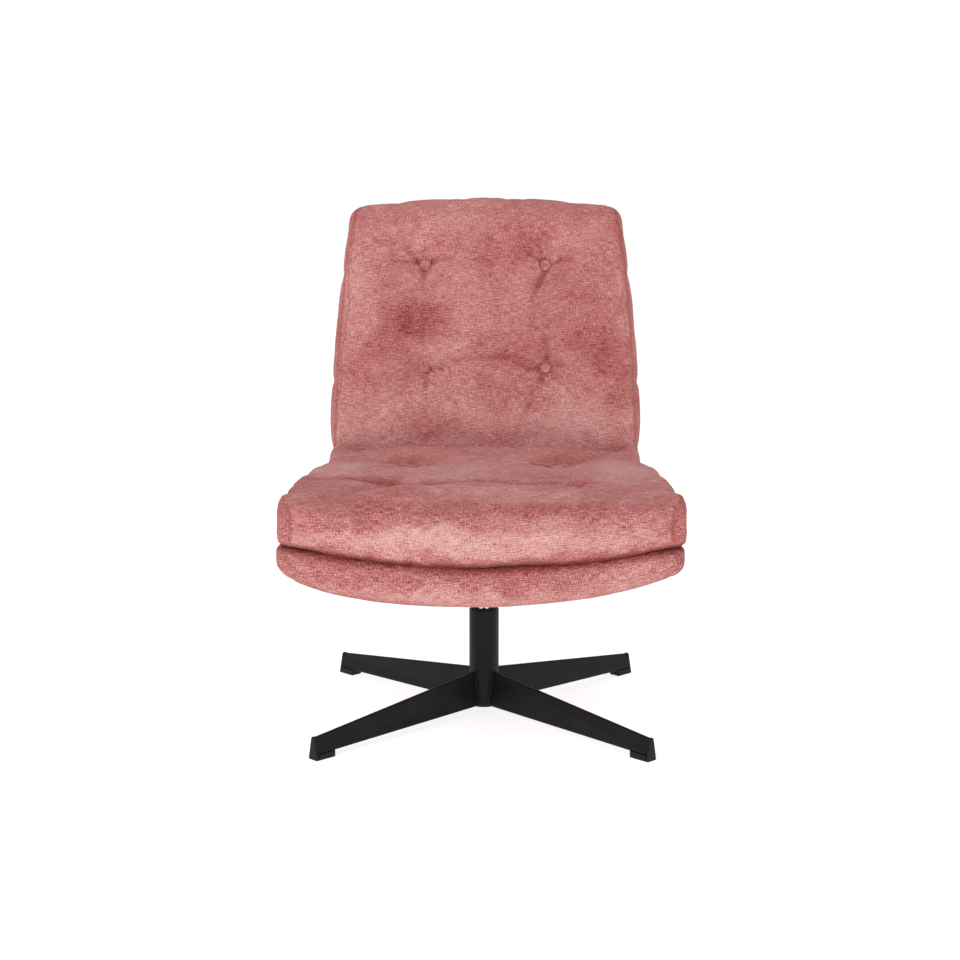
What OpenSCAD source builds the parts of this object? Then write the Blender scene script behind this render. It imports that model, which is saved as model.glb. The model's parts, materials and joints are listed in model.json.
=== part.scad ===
// Swivel lounge chair: a tufted seat and back cushion on an upholstered moulded shell,
// turning on a four-legged steel pedestal. Millimetres, +Z up, the sitter faces -Y.
// The origin is on the floor, on the swivel axis.

/* [Overall] */
// Height from the floor to the top of the back cushion
overall_h = 868; // [860:1:880]
// Height of the seat cushion's top at its centre
seat_h = 427; // [424:1:430]
// Distance from the swivel axis to the front of the seat cushion
seat_reach = 385; // [380:1:390]
// Lean of the back from the vertical, in degrees
back_lean = 14.5; // [13:0.5:15]

/* [Seat cushion] */
// Width of the seat cushion at its front
seat_w = 600; // [590:1:604]
// Width of the seat cushion at its rear end
seat_rear_w = 562; // [550:1:570]
// Thickness of the seat cushion at its centre
seat_t = 99; // [96:1:102]
// Length of the seat cushion from front to rear
seat_len = 590; // [584:1:592]
// Sideways distance of the seat buttons from the centre line
seat_button_x = 124; // [118:1:130]
// Distances of the two rows of seat buttons from the cushion's front
seat_button_rows = [163, 393];

/* [Back cushion] */
// Width of the back cushion at its bottom
back_w = 548; // [540:1:554]
// Width of the back cushion at its top
back_top_w = 474; // [464:1:482]
// Thickness of the back cushion at its centre
back_t = 88; // [86:1:89]
// Sideways distance of the back buttons from the centre line
back_button_x = 107; // [102:1:112]
// Distances of the two rows of back buttons from the cushion's bottom
back_button_rows = [145, 331];

/* [Buttons] */
// Diameter of a covered button
button_d = 20; // [18:1:22]
// Depth of a tuft below the cushion's surface
tuft_depth = 17; // [12:1:18]
// Diameter of a tuft where it meets the cushion's surface
tuft_d = 96; // [90:1:100]

/* [Shell] */
// Width of the shell at its front lip
shell_w = 604; // [598:1:608]
// Width of the shell at the top of its back
shell_top_w = 456; // [446:1:462]
// Thickness of the shell at its front lip
lip_t = 63; // [60:1:65]
// Thickness of the shell above the swivel plate
bowl_t = 87; // [84:1:88]
// Thickness of the shell at the top of its back
top_t = 33; // [32:1:36]
// Radius of the shell's bend between seat and back
bend_r = 70; // [66:1:72]
// Thickness of the moulded plywood
ply_t = 12; // [10:1:12]
// Thickness of the cover fabric
cover_t = 3; // [2:0.5:3]

/* [Pedestal] */
// Distance from the swivel axis to the end of a leg
leg_reach = 372; // [350:1:380]
// Outer diameter of the column and of the hub
column_d = 50; // [50:0.5:52]
// Height of the top of the column
column_h = 180; // [178:1:182]
// Height of the top of the legs at the hub
hub_h = 75.5; // [74:0.5:78]
// Height of the underside of the legs at the hub
hub_low = 17.5; // [17:0.5:19]
// Height of the top of a leg at its end
leg_end_h = 36; // [34:0.5:38]
// Height of the underside of a leg at its end
leg_end_low = 10; // [9:0.5:11]
// Width of a leg across its underside
leg_w = 22; // [20:0.5:23]
// Width of a leg across its top edge
leg_top_w = 5.5; // [5:0.5:6]
// Wall thickness of a leg
leg_wall = 1.8; // [1.5:0.1:2]

/* [Swivel] */
// Diameter of the spindle
spindle_d = 25; // [25:0.5:25]
// Side of the square swivel plate
plate_w = 200; // [190:1:206]
// Distance between the swivel plate's bolts, both ways
bolt_spacing = 160; // [150:1:164]

/* [Hidden] */
$fn = 48;
eps = 0.01;

black = [0.08, 0.08, 0.08];
steel = [0.72, 0.73, 0.75];
rose = [0.74, 0.42, 0.42];
foam = [0.93, 0.89, 0.76];
wood = [0.80, 0.65, 0.46];
nylon = [0.88, 0.88, 0.84];

gap = 0.4;              // clearance between soft solids
front_y = -seat_reach;
seat_base_z = seat_h - seat_t;
plate_z = seat_base_z - gap - bowl_t;   // underside of the shell, where the plate sits
plate_t = 4;

// ---------------------------------------------------------------- shared curves

function lerp(a, b, t) = a + (b - a) * t;
function step01(a, b, x) = min(1, max(0, (x - a) / (b - a)));
function smooth(a, b, x) = let (t = step01(a, b, x)) t * t * (3 - 2 * t);
// Rises from 0 at d = 0 to 1 at d = len along a superellipse: the profile of a rounded end
function round_end(d, len, p) = d >= len ? 1 : pow(1 - pow(1 - max(d, 0) / len, p), 1 / p);
// How far the side of a rounded block has dropped at the share u of its half width
function edge_drop(u, p) = 1 - pow(max(0, 1 - pow(min(abs(u), 1), p)), 1 / p);

// One closed surface through rings of points. Its two ends are closed by a strip between
// the ring's upper and lower points, listed from left to right, or else by a fan.
module loft(rings, upper = [], lower = []) {
    n = len(rings[0]);
    m = len(rings);
    fanned = len(upper) == 0;
    function mean(ring) = [for (k = [0:2]) sum_of([for (p = ring) p[k]]) / n];
    sides = [
        for (i = [0:m - 2]) for (j = [0:n - 1])
            let (a = i * n + j, b = i * n + (j + 1) % n, c = b + n, d = a + n)
            each [[a, c, b], [a, d, c]]
    ];
    first = fanned ? [for (j = [0:n - 1]) [m * n, j, (j + 1) % n]]
                   : zip(upper, lower, [for (p = rings[0]) p[0]]);
    last = [for (f = first) [for (i = [2:-1:0]) f[i] >= m * n ? m * n + 1 : f[i] + (m - 1) * n]];
    polyhedron(points = concat([for (r = rings) for (p = r) p],
                               fanned ? [mean(rings[0]), mean(rings[m - 1])] : []),
               faces = concat(sides, first, last), convexity = 6);
}
function sum_of(v, i = 0) = i >= len(v) ? 0 : v[i] + sum_of(v, i + 1);
// Triangles between two rows of points, advancing along whichever row is behind in x
function zip(a, b, x, i = 0, j = 0) =
    i >= len(a) - 1 && j >= len(b) - 1 ? []
    : j >= len(b) - 1 || (i < len(a) - 1 && x[a[i + 1]] < x[b[j + 1]])
        ? concat([[a[i], a[i + 1], b[j]]], zip(a, b, x, i + 1, j))
        : concat([[a[i], b[j + 1], b[j]]], zip(a, b, x, i, j + 1));

// ---------------------------------------------------------------- the shell's path

// The shell's inner face in the YZ plane: level seat, bend, then the leaning back.
// A point on it is found from its distance s along the path.
turn = 90 - back_lean;
path_y0 = front_y + 29;
path_z0 = seat_base_z - gap;
back_n = [-cos(back_lean), sin(back_lean)];         // from the back towards the sitter
back_d = [sin(back_lean), cos(back_lean)];          // up along the back
cushion_foot_y = 156;                               // front of the back cushion, on the seat
heel = [cushion_foot_y, seat_h] - (back_t + gap) * back_n;
corner_y = heel[0] - (heel[1] - path_z0) * tan(back_lean);
bend_in = bend_r * tan(turn / 2);
seat_run = corner_y - bend_in - path_y0;
bend_run = bend_r * turn * PI / 180;
bend_c = [path_y0 + seat_run, path_z0 + bend_r];
bend_end = bend_c + bend_r * [cos(back_lean), -sin(back_lean)];
shell_top_z = overall_h - 19;
back_run = (shell_top_z - bend_end[1]) / cos(back_lean);
path_len = seat_run + bend_run + back_run;

function path_point(s) =
    s < seat_run ? [path_y0 + s, path_z0] :
    s < seat_run + bend_run
        ? let (a = (s - seat_run) / bend_r * 180 / PI) bend_c + bend_r * [sin(a), -cos(a)]
        : bend_end + (s - seat_run - bend_run) * back_d;
function path_angle(s) = turn * step01(seat_run, seat_run + bend_run, s);
// Place of a point of the shell: x across, n towards the sitter, shift along the path
function on_path(s, x, n, shift = 0) =
    let (p = path_point(s), a = path_angle(s))
    [x, p[0] - n * sin(a) + shift * cos(a), p[1] + n * cos(a) + shift * sin(a)];

// ---------------------------------------------------------------- shell sections

lip_bulge = 24;      // the front edge is this much further forward at its middle
seat_camber = 26;    // the sides of the seat stand this much higher than its middle
back_camber = 12;
camber_half = 280;   // half width that the cambers are given for
shell_edge = 25;     // depth of the shell's widest line below its inner face

function shell_width(s) =
    let (v = step01(seat_run, path_len, s))
    s < seat_run ? lerp(shell_w, 560, s / seat_run)
                 : 560 - (560 - shell_top_w) * pow(v, 1.8);
function shell_thickness(s) =
    s < seat_run ? lerp(lip_t, bowl_t, smooth(0, 230, s))
                 : lerp(bowl_t, lerp(40, top_t, step01(seat_run + bend_run, path_len, s)),
                        smooth(seat_run - 20, seat_run + bend_run + 60, s));
// Height of the inner face at a place x above the middle of the shell
function camber(s, x) =
    lerp(seat_camber, back_camber, smooth(seat_run - 60, seat_run + bend_run, s))
    * x * x / (camber_half * camber_half);
// Share of the half width over which the underside is level, for the swivel plate
function shell_flat(s) =
    0.42 * smooth(60, 260, s) * (1 - smooth(seat_run - 40, seat_run + 60, s));
function shell_bulge(s) = -lip_bulge * (1 - smooth(0, 220, s));
function shell_crown(s) = 12 * smooth(path_len - 150, path_len, s);

// Offsets towards the sitter of the inner and outer face at the share u of the half width w
function shell_inner(s, u, w) = camber(s, u * w) - shell_edge * edge_drop(u, 7);
function shell_outer(s, u, w) =
    let (flat = shell_flat(s), v = max(0, (abs(u) - flat) / (1 - flat)))
    camber(s, v * w) - shell_edge
    - (shell_thickness(s) - shell_edge) * (1 - edge_drop(v, 2.8));

shell_u = [for (i = [0:14]) -cos(180 * i / 14)];
// A ring of the shell, moved inwards by inset
function shell_ring(s, inset) =
    let (
        rear = s > path_len / 2,
        d = min(s, path_len - s) - inset,
        end = max(0.3, round_end(d, rear ? 18 : 34, 2.4)),
        w0 = shell_width(s) / 2,
        w = (w0 - inset) * (1 - 0.07 * (1 - round_end(d, 36, 2))),
        t = shell_thickness(s),
        place = function (u, top)
            let (hi = shell_inner(s, u, w0), lo = shell_outer(s, u, w0),
                 mid = camber(s, u * w) - t / 2, n = top ? hi : lo,
                 span = max(hi - lo, 30), k = end * (span - 2 * inset) / span)
            on_path(s, u * w, mid + (n - mid) * k,
                    shell_bulge(s) * (1 - u * u) - shell_crown(s) * u * u)
    )
    concat([for (u = shell_u) place(u, true)], [for (i = [13:-1:1]) place(shell_u[i], false)]);

shell_s = concat(
    [0, 4, 11, 22, 36, 70, 130, 196, 262, 346, 445],
    [for (i = [0:7]) seat_run + bend_run * i / 7],
    [for (i = [1:7]) seat_run + bend_run + (back_run - 40) * i / 7],
    [path_len - 24, path_len - 12, path_len - 5, path_len]
);
// A distance along a solid, drawn in by inset near the ends only
function drawn_in(s, length, inset) =
    s + inset * (1 - step01(0, 36, s)) - inset * step01(length - 36, length, s);

module shell_solid(inset) {
    loft([for (s = shell_s) shell_ring(drawn_in(s, path_len, inset), inset)],
         [for (j = [0:14]) j], [for (j = [27:-1:15]) j]);
}

// The plywood follows the underside below the seat and the middle of the back
ply_margin = 4;      // wadding between the plywood and the cover
ply_share = 0.8;     // of the shell's width
ply_in = 34;         // from the shell's ends
function ply_low(s, u) =
    let (w = shell_width(s) / 2)
    lerp(shell_outer(s, u, w) + cover_t + ply_margin,
         camber(s, u * w) - shell_thickness(s) / 2 - ply_t / 2,
         smooth(seat_run - 30, seat_run + bend_run, s));
ply_u = [for (i = [0:10]) -1 + 2 * i / 10];
function ply_point(s, u, w, lift) =
    on_path(s, u * w, ply_low(s, u * ply_share) + lift, 0.9 * shell_bulge(s) * (1 - u * u));
module ply_solid(grow) {
    first = ply_in - grow;
    last = path_len - ply_in + grow;
    runs = concat(
        [first, ply_in + 12, ply_in + 40],
        [for (i = [2:7]) lerp(ply_in, seat_run, i / 7)],
        [for (i = [1:6]) seat_run + bend_run * i / 6],
        [for (i = [1:4]) lerp(seat_run + bend_run, path_len - ply_in, i / 5)],
        [last]
    );
    loft([
        for (s = runs)
            let (w = shell_width(s) / 2 * ply_share + grow)
            concat(
                [for (u = ply_u) ply_point(s, u, w, ply_t + grow)],
                [for (i = [10:-1:0]) ply_point(s, ply_u[i], w, -grow)]
            )
    ], [for (j = [0:10]) j], [for (j = [21:-1:11]) j]);
}

// ---------------------------------------------------------------- cushions

// A cushion is made in its own frame: x across, s along it, n up from the shell's face.
// Its record: length, widths at both ends, thickness, lower face, camber of the top,
// button rows, button x, bulge of the front, crown, taper, drop of the far corners,
// dip of the far end under the back cushion
function pad_low(c, s, x) = c[4](s, x);
function pad_half(c, s) = lerp(c[1], c[2], pow(s / c[0], c[10])) / 2;
// Depth of the tufts at a point of a cushion, with a level floor below each button
function tuft(s, x, rows, bx) =
    tuft_depth * max([for (r = rows) let (d = norm([s - r, abs(x) - bx]))
        pow(1 - smooth(17.5, tuft_d / 2, d), 1.6)]);
function pad_top(c, s, x) =
    let (u = min(1, abs(x) / pad_half(c, s)))
    c[3] + c[5] * x * x / (camber_half * camber_half)
    + c[9] * sin(180 * s / c[0]) * (1 - u * u) - c[12] * smooth(c[0] - 110, c[0] - 20, s)
    - tuft(s, x, c[6], c[7]);

// Places along a cushion that its surface is made through, closer at the tufts
function along(length, rows) = concat(
    [0, 3, 9, 18, 30],
    [for (d = [-46, -28, -12, 12, 28, 46]) rows[0] + d],
    [(rows[0] + rows[1]) / 2],
    [for (d = [-46, -28, -12, 12, 28, 46]) rows[1] + d],
    [lerp(rows[1] + 46, length - 34, 0.5)],
    [length - 34, length - 20, length - 10, length - 3, length]
);
// Half of a ring: [distance from the middle, share of the way from the lower face to the top]
corner_r = 28;       // radius of a cushion's edges towards the sitter
heel_r = 13;         // radius of its edges towards the shell
top_count = 11;      // points of a half ring above the side wall
function half_ring(w, bx, t) = concat(
    [[0, 1]],
    [for (d = [-44, -26, -12, 12, 26, 44]) [bx + d, 1]],
    [[lerp(bx + 44, w - corner_r, 0.6), 1]],
    [for (a = [90, 60, 30, 0])
        [w - corner_r * (1 - cos(a)), 1 - corner_r / t * (1 - sin(a))]],
    [for (a = [0, 30, 60, 90])
        [w - heel_r * (1 - cos(a)), heel_r / t * (1 - sin(a))]],
    [[w * 0.6, 0], [w * 0.3, 0], [0, 0]]
);

function pad_ring(s, c, inset) =
    let (
        length = c[0],
        d0 = s - inset, d1 = length - inset - s,
        end = max(0.5, min(round_end(d0, 30, 2.3), round_end(d1, 34, 2.2))),
        w0 = pad_half(c, s),
        turned = min(round_end(d0, 30, 2), round_end(d1, 34, 2)),
        w = w0 - inset - 22 * (1 - turned),
        shift = -c[8] * (1 - smooth(0, 260, s)),
        round_top = c[11] * smooth(length - 150, length, s),
        thick = pad_top(c, s, w0) - pad_low(c, s, w0),
        place = function (side, p)
            let (
                x = p[0] * side, u = p[0] / w,
                xo = u < 0.75 ? x : side * lerp(x * side, w0, (u - 0.75) / 0.25),
                hi = pad_top(c, s, xo), lo = pad_low(c, s, xo), mid = (hi + lo) / 2,
                n = lerp(lo, hi, p[1]), k = end * (hi - lo - 2 * inset) / (hi - lo)
            )
            [x, s + shift * (1 - u * u) - round_top * u * u, mid + (n - mid) * k],
        half = half_ring(w, c[7], thick), m = len(half)
    )
    concat([for (i = [0:m - 1]) place(1, half[i])],
           [for (i = [m - 2:-1:1]) place(-1, half[i])]);
module pad_loft(rings) {
    m = len(rings[0]) / 2 + 1;
    loft(rings,
         concat([for (i = [top_count:-1:1]) 2 * m - 2 - i], [for (i = [0:top_count]) i]),
         concat([for (i = [top_count + 1:m - 2]) 2 * m - 2 - i],
                [for (i = [m - 1:-1:top_count + 1]) i]));
}

// The lower face of the seat cushion lies on the shell, also where it begins to bend
seat_pad_y = front_y + 22;
function bend_rise(y) =
    let (d = max(0, y - path_y0 - seat_run + 3)) bend_r - sqrt(max(1, bend_r * bend_r - d * d));
seat_pad = [seat_len, seat_w, seat_rear_w, seat_t,
            function (s, x) camber(s + seat_pad_y - path_y0, x) + bend_rise(seat_pad_y + s), 3,
            seat_button_rows, seat_button_x, 22, 3, 1, 0, 15];
back_lift = 5;
back_len = (overall_h - heel[1] - (0.75 * back_t + gap) * sin(back_lean)) / cos(back_lean)
           - back_lift;
back_pad = [back_len, back_w, back_top_w, back_t,
            function (s, x) camber(path_len, x), 4,
            back_button_rows, back_button_x, 0, 3, 2.6, 12, 0];

function seat_place(p) = [p[0], seat_pad_y + p[1], seat_base_z + p[2]];
function back_place(p) =
    let (q = heel + (p[1] + back_lift) * back_d + (p[2] + gap) * back_n) [p[0], q[0], q[1]];

module seat_pad_solid(inset) {
    pad_loft([for (s = along(seat_len, seat_button_rows))
        [for (p = pad_ring(drawn_in(s, seat_len, inset), seat_pad, inset)) seat_place(p)]]);
}
module back_pad_solid(inset) {
    pad_loft([for (s = along(back_len, back_button_rows))
        [for (p = pad_ring(drawn_in(s, back_len, inset), back_pad, inset)) back_place(p)]]);
}

// Children are put at each button: +Z out of the cushion, 0 at the tuft's floor
function floor_n(c, s) = pad_top(c, s, c[7]);
module at_seat_buttons() {
    for (x = [-1, 1], r = seat_button_rows)
        translate(seat_place([x * seat_button_x, r, floor_n(seat_pad, r)])) children();
}
module at_back_buttons() {
    for (x = [-1, 1], r = back_button_rows)
        translate(back_place([x * back_button_x, r, floor_n(back_pad, r)]))
            rotate([90 - back_lean, 0, 0]) children();
}

// Cord and anchor of one button, grown by a clearance
cord_d = 2;
anchor_d = 20;
anchor_t = 2;
function cord_len(t) = t - tuft_depth - 2 * cover_t - 1;
module cord(length, grow) {
    translate([0, 0, -length]) cylinder(h = length + 1, d = cord_d + 2 * grow);
}
module anchor(length, grow) {
    translate([0, 0, -length - grow]) difference() {
        cylinder(h = anchor_t + 2 * grow, d = anchor_d + 2 * grow);
        if (grow == 0) translate([0, 0, -1]) cylinder(h = anchor_t + 2, d = cord_d);
    }
}
seat_cord = seat_t - tuft_depth - cover_t - 9;
back_cord = back_t - tuft_depth - cover_t - 6;

// ---------------------------------------------------------------- pedestal pieces

// A ring: outer diameter, inner diameter, from z0 to z1
module ring(d_out, d_in, z0, z1) {
    translate([0, 0, z0]) difference() {
        cylinder(h = z1 - z0, d = d_out);
        translate([0, 0, -1]) cylinder(h = z1 - z0 + 2, d = d_in);
    }
}

tube_wall = 3;
core_d = column_d - 2 * tube_wall;
core_in = core_d - 2 * tube_wall;
hub_r = column_d / 2;
plate_end = 5;                       // thickness of a foot's end plate
leg_end = leg_reach - plate_end;
run_clear = 0.05;                    // radial clearance of the swivel's bearings
stub_d = 16;
race_d = 30;
ball_d = 5;
ball_ring_r = 11.75;
disc_z = 34;
disc_t = 6;
race_z = disc_z + disc_t;
ball_z = race_z + 4.5;
thrust_z = race_z + 9;               // the spindle's shoulder rests here
socket_d = 48;
socket_z = column_h + 3.5;
socket_top = plate_z - plate_t;
spindle_top = socket_top - 4;
screw_z = socket_z + 6.5;
screw_x = 4.6;
screw_flat = 23;

module hub_tube() color(black) ring(column_d, core_d, hub_low, hub_h);
module core_tube() color(black) ring(core_d, core_in, hub_low + 2.5, column_h);
module column_sleeve() color(black) ring(column_d, core_d + 0.4, hub_h, column_h);
module support_disc() color(steel) ring(core_in, stub_d + 0.4, disc_z, race_z);

module groove(z) {
    translate([0, 0, z]) rotate_extrude()
        translate([ball_ring_r, 0]) circle(r = ball_d / 2 + run_clear);
}
module bearing_lower_race() color(steel) difference() {
    ring(race_d, stub_d + 1.2, race_z, race_z + 2.75);
    groove(ball_z);
}
module bearing_upper_race() color(steel) difference() {
    ring(race_d, stub_d + 1.2, thrust_z - 2.75, thrust_z);
    groove(ball_z);
}
balls = 8;
module bearing_balls() color(steel)
    for (i = [0:balls - 1]) rotate([0, 0, 360 * i / balls])
        translate([ball_ring_r, 0, ball_z]) sphere(d = ball_d, $fn = 24);
module bearing_cage() color(nylon) difference() {
    ring(race_d - 1, stub_d + 1.6, ball_z - 0.9, ball_z + 0.9);
    for (i = [0:balls - 1]) rotate([0, 0, 360 * i / balls])
        translate([ball_ring_r, 0, ball_z - 2]) cylinder(h = 4, d = ball_d);
}
module lower_bush() color(nylon)
    ring(core_in, spindle_d + 2 * run_clear, thrust_z + 3, thrust_z + 23);
module upper_bush() color(black) {
    difference() {
        union() {
            translate([0, 0, column_h - 30]) cylinder(h = 30 + eps, d = core_in);
            translate([0, 0, column_h]) cylinder(h = 3, d = column_d - 3);
        }
        translate([0, 0, column_h - 31]) cylinder(h = 40, d = spindle_d + 2 * run_clear);
    }
}
module hub_cap() color(black) {
    difference() {
        union() {
            translate([0, 0, hub_low - 2.5]) cylinder(h = 2.5, d1 = column_d - 4, d2 = column_d);
            translate([0, 0, hub_low - eps]) cylinder(h = 8.5, d = core_in - 0.2);
        }
        translate([0, 0, hub_low]) cylinder(h = 10, d = core_in - 5);
    }
}

// A leg's section: corners of a folded trapezoid with broken edges
function leg_low(r) = lerp(hub_low, leg_end_low, (r - hub_r) / (leg_end - hub_r));
function leg_top(r) = lerp(hub_h, leg_end_h, (r - hub_r) / (leg_end - hub_r));
function trapezoid(half_low, half_top, low, top, b) =
    let (slope = (half_low - half_top) / (top - low))
    [[-half_low + b, low], [half_low - b, low], [half_low - slope * b, low + b],
     [half_top + slope * b, top - b], [half_top - b * 0.8, top], [-half_top + b * 0.8, top],
     [-half_top - slope * b, top - b], [-half_low + slope * b, low + b]];
function leg_section(r, inset) =
    [for (p = trapezoid(leg_w / 2 - inset, leg_top_w / 2 - inset * 0.72,
                        leg_low(r) + inset, leg_top(r) - inset * 1.3, inset > 0 ? 0.5 : 1.6))
        [r, p[0], p[1]]];
module leg_solid(r0, r1, inset) {
    loft([leg_section(r0, inset), leg_section(r1, inset)]);
}
module leg() color(black) difference() {
    leg_solid(hub_r - 8, leg_end, 0);
    leg_solid(hub_r - 9, leg_end + 1, leg_wall);
    cylinder(h = 90, r = hub_r);
}

pad_r = leg_reach - 37;              // inner end of a foot's pad
pad_half_w = leg_w / 2 + 0.4;
module foot() color(black) {
    union() {
        // end plate, from the floor to the top of the leg
        loft([for (r = [leg_end, leg_reach - 1.2, leg_reach])
            let (b = r == leg_reach ? 1.2 : 0)
            [for (p = trapezoid(pad_half_w - b, leg_top_w / 2 + 1 - b / 2,
                                0, leg_end_h + 0.6 - b, 1.6)) [r, p[0], p[1]]]]);
        // pad below the leg
        loft([for (r = [pad_r, pad_r + 1.5, leg_end + 0.5])
            let (b = r == pad_r ? 1.5 : 0, h = leg_low(r) - (r < leg_end ? 0.1 : 0.2))
            [for (p = [[-pad_half_w + b, 1.5 + b], [-pad_half_w + 1.5 + b, b],
                       [pad_half_w - 1.5 - b, b], [pad_half_w - b, 1.5 + b],
                       [pad_half_w - b, h], [-pad_half_w + b, h]]) [r, p[0], p[1]]]]);
        // plug inside the leg
        loft([leg_section(leg_end - 24, leg_wall + 0.35), leg_section(leg_end + 1, leg_wall + 0.35)]);
    }
}

// Weld beads down both sides of each leg, where it meets the hub
weld_gap = 0.1;          // keeps a weld clear of the leg's flat sides
module leg_weld(side) {
    ang0 = asin((leg_top_w / 2) / hub_r);
    ang1 = asin((leg_w / 2) / hub_r);
    p0 = [hub_r * cos(ang0), side * hub_r * sin(ang0), hub_h - 2];
    p1 = [hub_r * cos(ang1), side * hub_r * sin(ang1), hub_low + 2];
    v = p0 - p1;
    translate(p1) rotate([0, acos(v[2] / norm(v)), atan2(v[1], v[0])])
        cylinder(h = norm(v), d = 4.4);
}
module leg_welds() color(black)
    for (a = [45:90:315]) rotate([0, 0, a]) for (side = [-1, 1])
        difference() {
            leg_weld(side);
            cylinder(h = 90, r = hub_r);
            leg_solid(hub_r - 8, hub_r + 40, -weld_gap);
        }

// ---------------------------------------------------------------- swivel pieces

module spindle() color(steel) difference() {
    union() {
        translate([0, 0, thrust_z]) cylinder(h = spindle_top - thrust_z - 1.5, d = spindle_d);
        translate([0, 0, spindle_top - 1.5]) cylinder(h = 1.5, d1 = spindle_d, d2 = spindle_d - 3);
        translate([0, 0, disc_z - 7]) cylinder(h = thrust_z - disc_z + 8, d = stub_d);
    }
    ring(stub_d + 4, stub_d - 1, disc_z - 3.7, disc_z - 2.2);
}
module retaining_washer() color(steel) ring(race_d, stub_d + 0.2, disc_z - 2.2, disc_z - 0.2);
module retaining_circlip() color(steel) difference() {
    ring(stub_d + 4, stub_d - 1, disc_z - 3.7, disc_z - 2.2);
    translate([-2.5, 0, disc_z - 5]) cube([5, 20, 5]);
}
module spindle_socket() color(black) difference() {
    union() {
        translate([0, 0, socket_z]) cylinder(h = 1, d1 = socket_d - 2, d2 = socket_d);
        translate([0, 0, socket_z + 1]) cylinder(h = socket_top - socket_z - 1, d = socket_d);
        translate([0, 0, socket_top - 5]) cylinder(h = 5, d = 92);
    }
    translate([0, 0, socket_z - 1]) cylinder(h = spindle_top - socket_z + 1, d = spindle_d);
    translate([0, 0, spindle_top - eps]) cylinder(h = 3, d = spindle_d - 3);
    translate([-12, -screw_flat - 5, socket_z + 1.5]) cube([24, 5, 10]);
    for (x = [-screw_x, screw_x])
        translate([x, 0, screw_z]) rotate([90, 0, 0]) cylinder(h = 30, d = 5);
}
module socket_screws() color(steel)
    for (x = [-screw_x, screw_x])
        translate([x, 0, screw_z]) rotate([90, 0, 0]) difference() {
            union() {
                translate([0, 0, 13]) cylinder(h = screw_flat - 13 + eps, d = 5);
                translate([0, 0, screw_flat]) cylinder(h = 2.4, d = 8.4);
                translate([0, 0, screw_flat + 2.4 - eps]) cylinder(h = 0.6, d1 = 8.4, d2 = 7.2);
            }
            translate([0, 0, screw_flat + 1]) cylinder(h = 5, d = 3.4, $fn = 6);
        }

module slot(w, length, h) {
    for (v = [-1, 1]) translate([0, v * (length - w) / 2, 0]) cylinder(h = h, d = w);
    translate([-w / 2, -(length - w) / 2, 0]) cube([w, length - w, h]);
}
module seat_plate() color(black) difference() {
    union() {
        translate([-plate_w / 2, -plate_w / 2 + 12, plate_z - plate_t])
            cube([plate_w, plate_w - 24, plate_t]);
        translate([-plate_w / 2 + 12, -plate_w / 2, plate_z - plate_t])
            cube([plate_w - 24, plate_w, plate_t]);
        for (x = [-1, 1], y = [-1, 1])
            translate([x * (plate_w / 2 - 12), y * (plate_w / 2 - 12), plate_z - plate_t])
                cylinder(h = plate_t, r = 12);
        for (x = [-1, 1]) translate([x * (plate_w / 2 - 1.5) - 1.5, -plate_w / 2 + 14,
                                     plate_z - plate_t - 11])
            cube([3, plate_w - 28, 12]);
    }
    for (x = [-1, 1], y = [-1, 1])
        translate([x * bolt_spacing / 2, y * bolt_spacing / 2, plate_z - plate_t - 1])
            slot(8.6, 13, plate_t + 2);
}

module at_bolts() {
    for (x = [-1, 1], y = [-1, 1])
        translate([x * bolt_spacing / 2, y * bolt_spacing / 2, plate_z]) children();
}
washer_t = 1.6;
bolt_len = 24;
module plate_bolts() color(steel) at_bolts() {
    translate([0, 0, -plate_t - washer_t]) union() {
        translate([0, 0, -5.3]) cylinder(h = 5.3, d = 15, $fn = 6);
        translate([0, 0, -eps]) cylinder(h = bolt_len, d = 8);
    }
}
module plate_washers() color(steel) at_bolts()
    ring(17, 8.4, -plate_t - washer_t, -plate_t);

ply_z0 = cover_t + ply_margin;       // above the plate, where it is level
module tee_nut() {
    difference() {
        union() {
            translate([0, 0, ply_z0 + 1]) cylinder(h = ply_t - 1 + eps, d = 10);
            translate([0, 0, ply_z0 + ply_t]) cylinder(h = 1.5, d = 22);
        }
        translate([0, 0, -1]) cylinder(h = 40, d = 8);
    }
}
module tee_nuts() color(steel) at_bolts() tee_nut();

// ---------------------------------------------------------------- upholstery pieces

module plywood_shell() color(wood) difference() {
    ply_solid(0);
    at_bolts() translate([0, 0, 0]) cylinder(h = 40, d = 10);
}
module shell_foam() color(foam) difference() {
    shell_solid(cover_t + 0.2);
    ply_solid(0.2);
    at_bolts() cylinder(h = ply_z0 + 1, d = 12);
    at_bolts() translate([0, 0, ply_z0 + ply_t - 1]) cylinder(h = 3, d = 23);
    at_bolts() translate([0, 0, ply_z0 + ply_t - 1]) cylinder(h = 8, d = 12);
}
module shell_cover() color(rose) difference() {
    shell_solid(0);
    shell_solid(cover_t);
    at_bolts() translate([0, 0, -3]) cylinder(h = 8, d = 12);
}

module seat_cushion_core() color(foam) difference() {
    seat_pad_solid(cover_t + 0.2);
    at_seat_buttons() { cord(seat_cord, 0.3); anchor(seat_cord, 0.2); }
}
module seat_cushion_cover() color(rose) difference() {
    seat_pad_solid(0);
    seat_pad_solid(cover_t);
    at_seat_buttons() translate([0, 0, -6]) cylinder(h = 8, d = cord_d + 0.6);
}
module back_cushion_core() color(foam) difference() {
    back_pad_solid(cover_t + 0.2);
    at_back_buttons() { cord(back_cord, 0.3); anchor(back_cord, 0.2); }
}
module back_cushion_cover() color(rose) difference() {
    back_pad_solid(0);
    back_pad_solid(cover_t);
    at_back_buttons() translate([0, 0, -6]) cylinder(h = 8, d = cord_d + 0.6);
}

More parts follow.
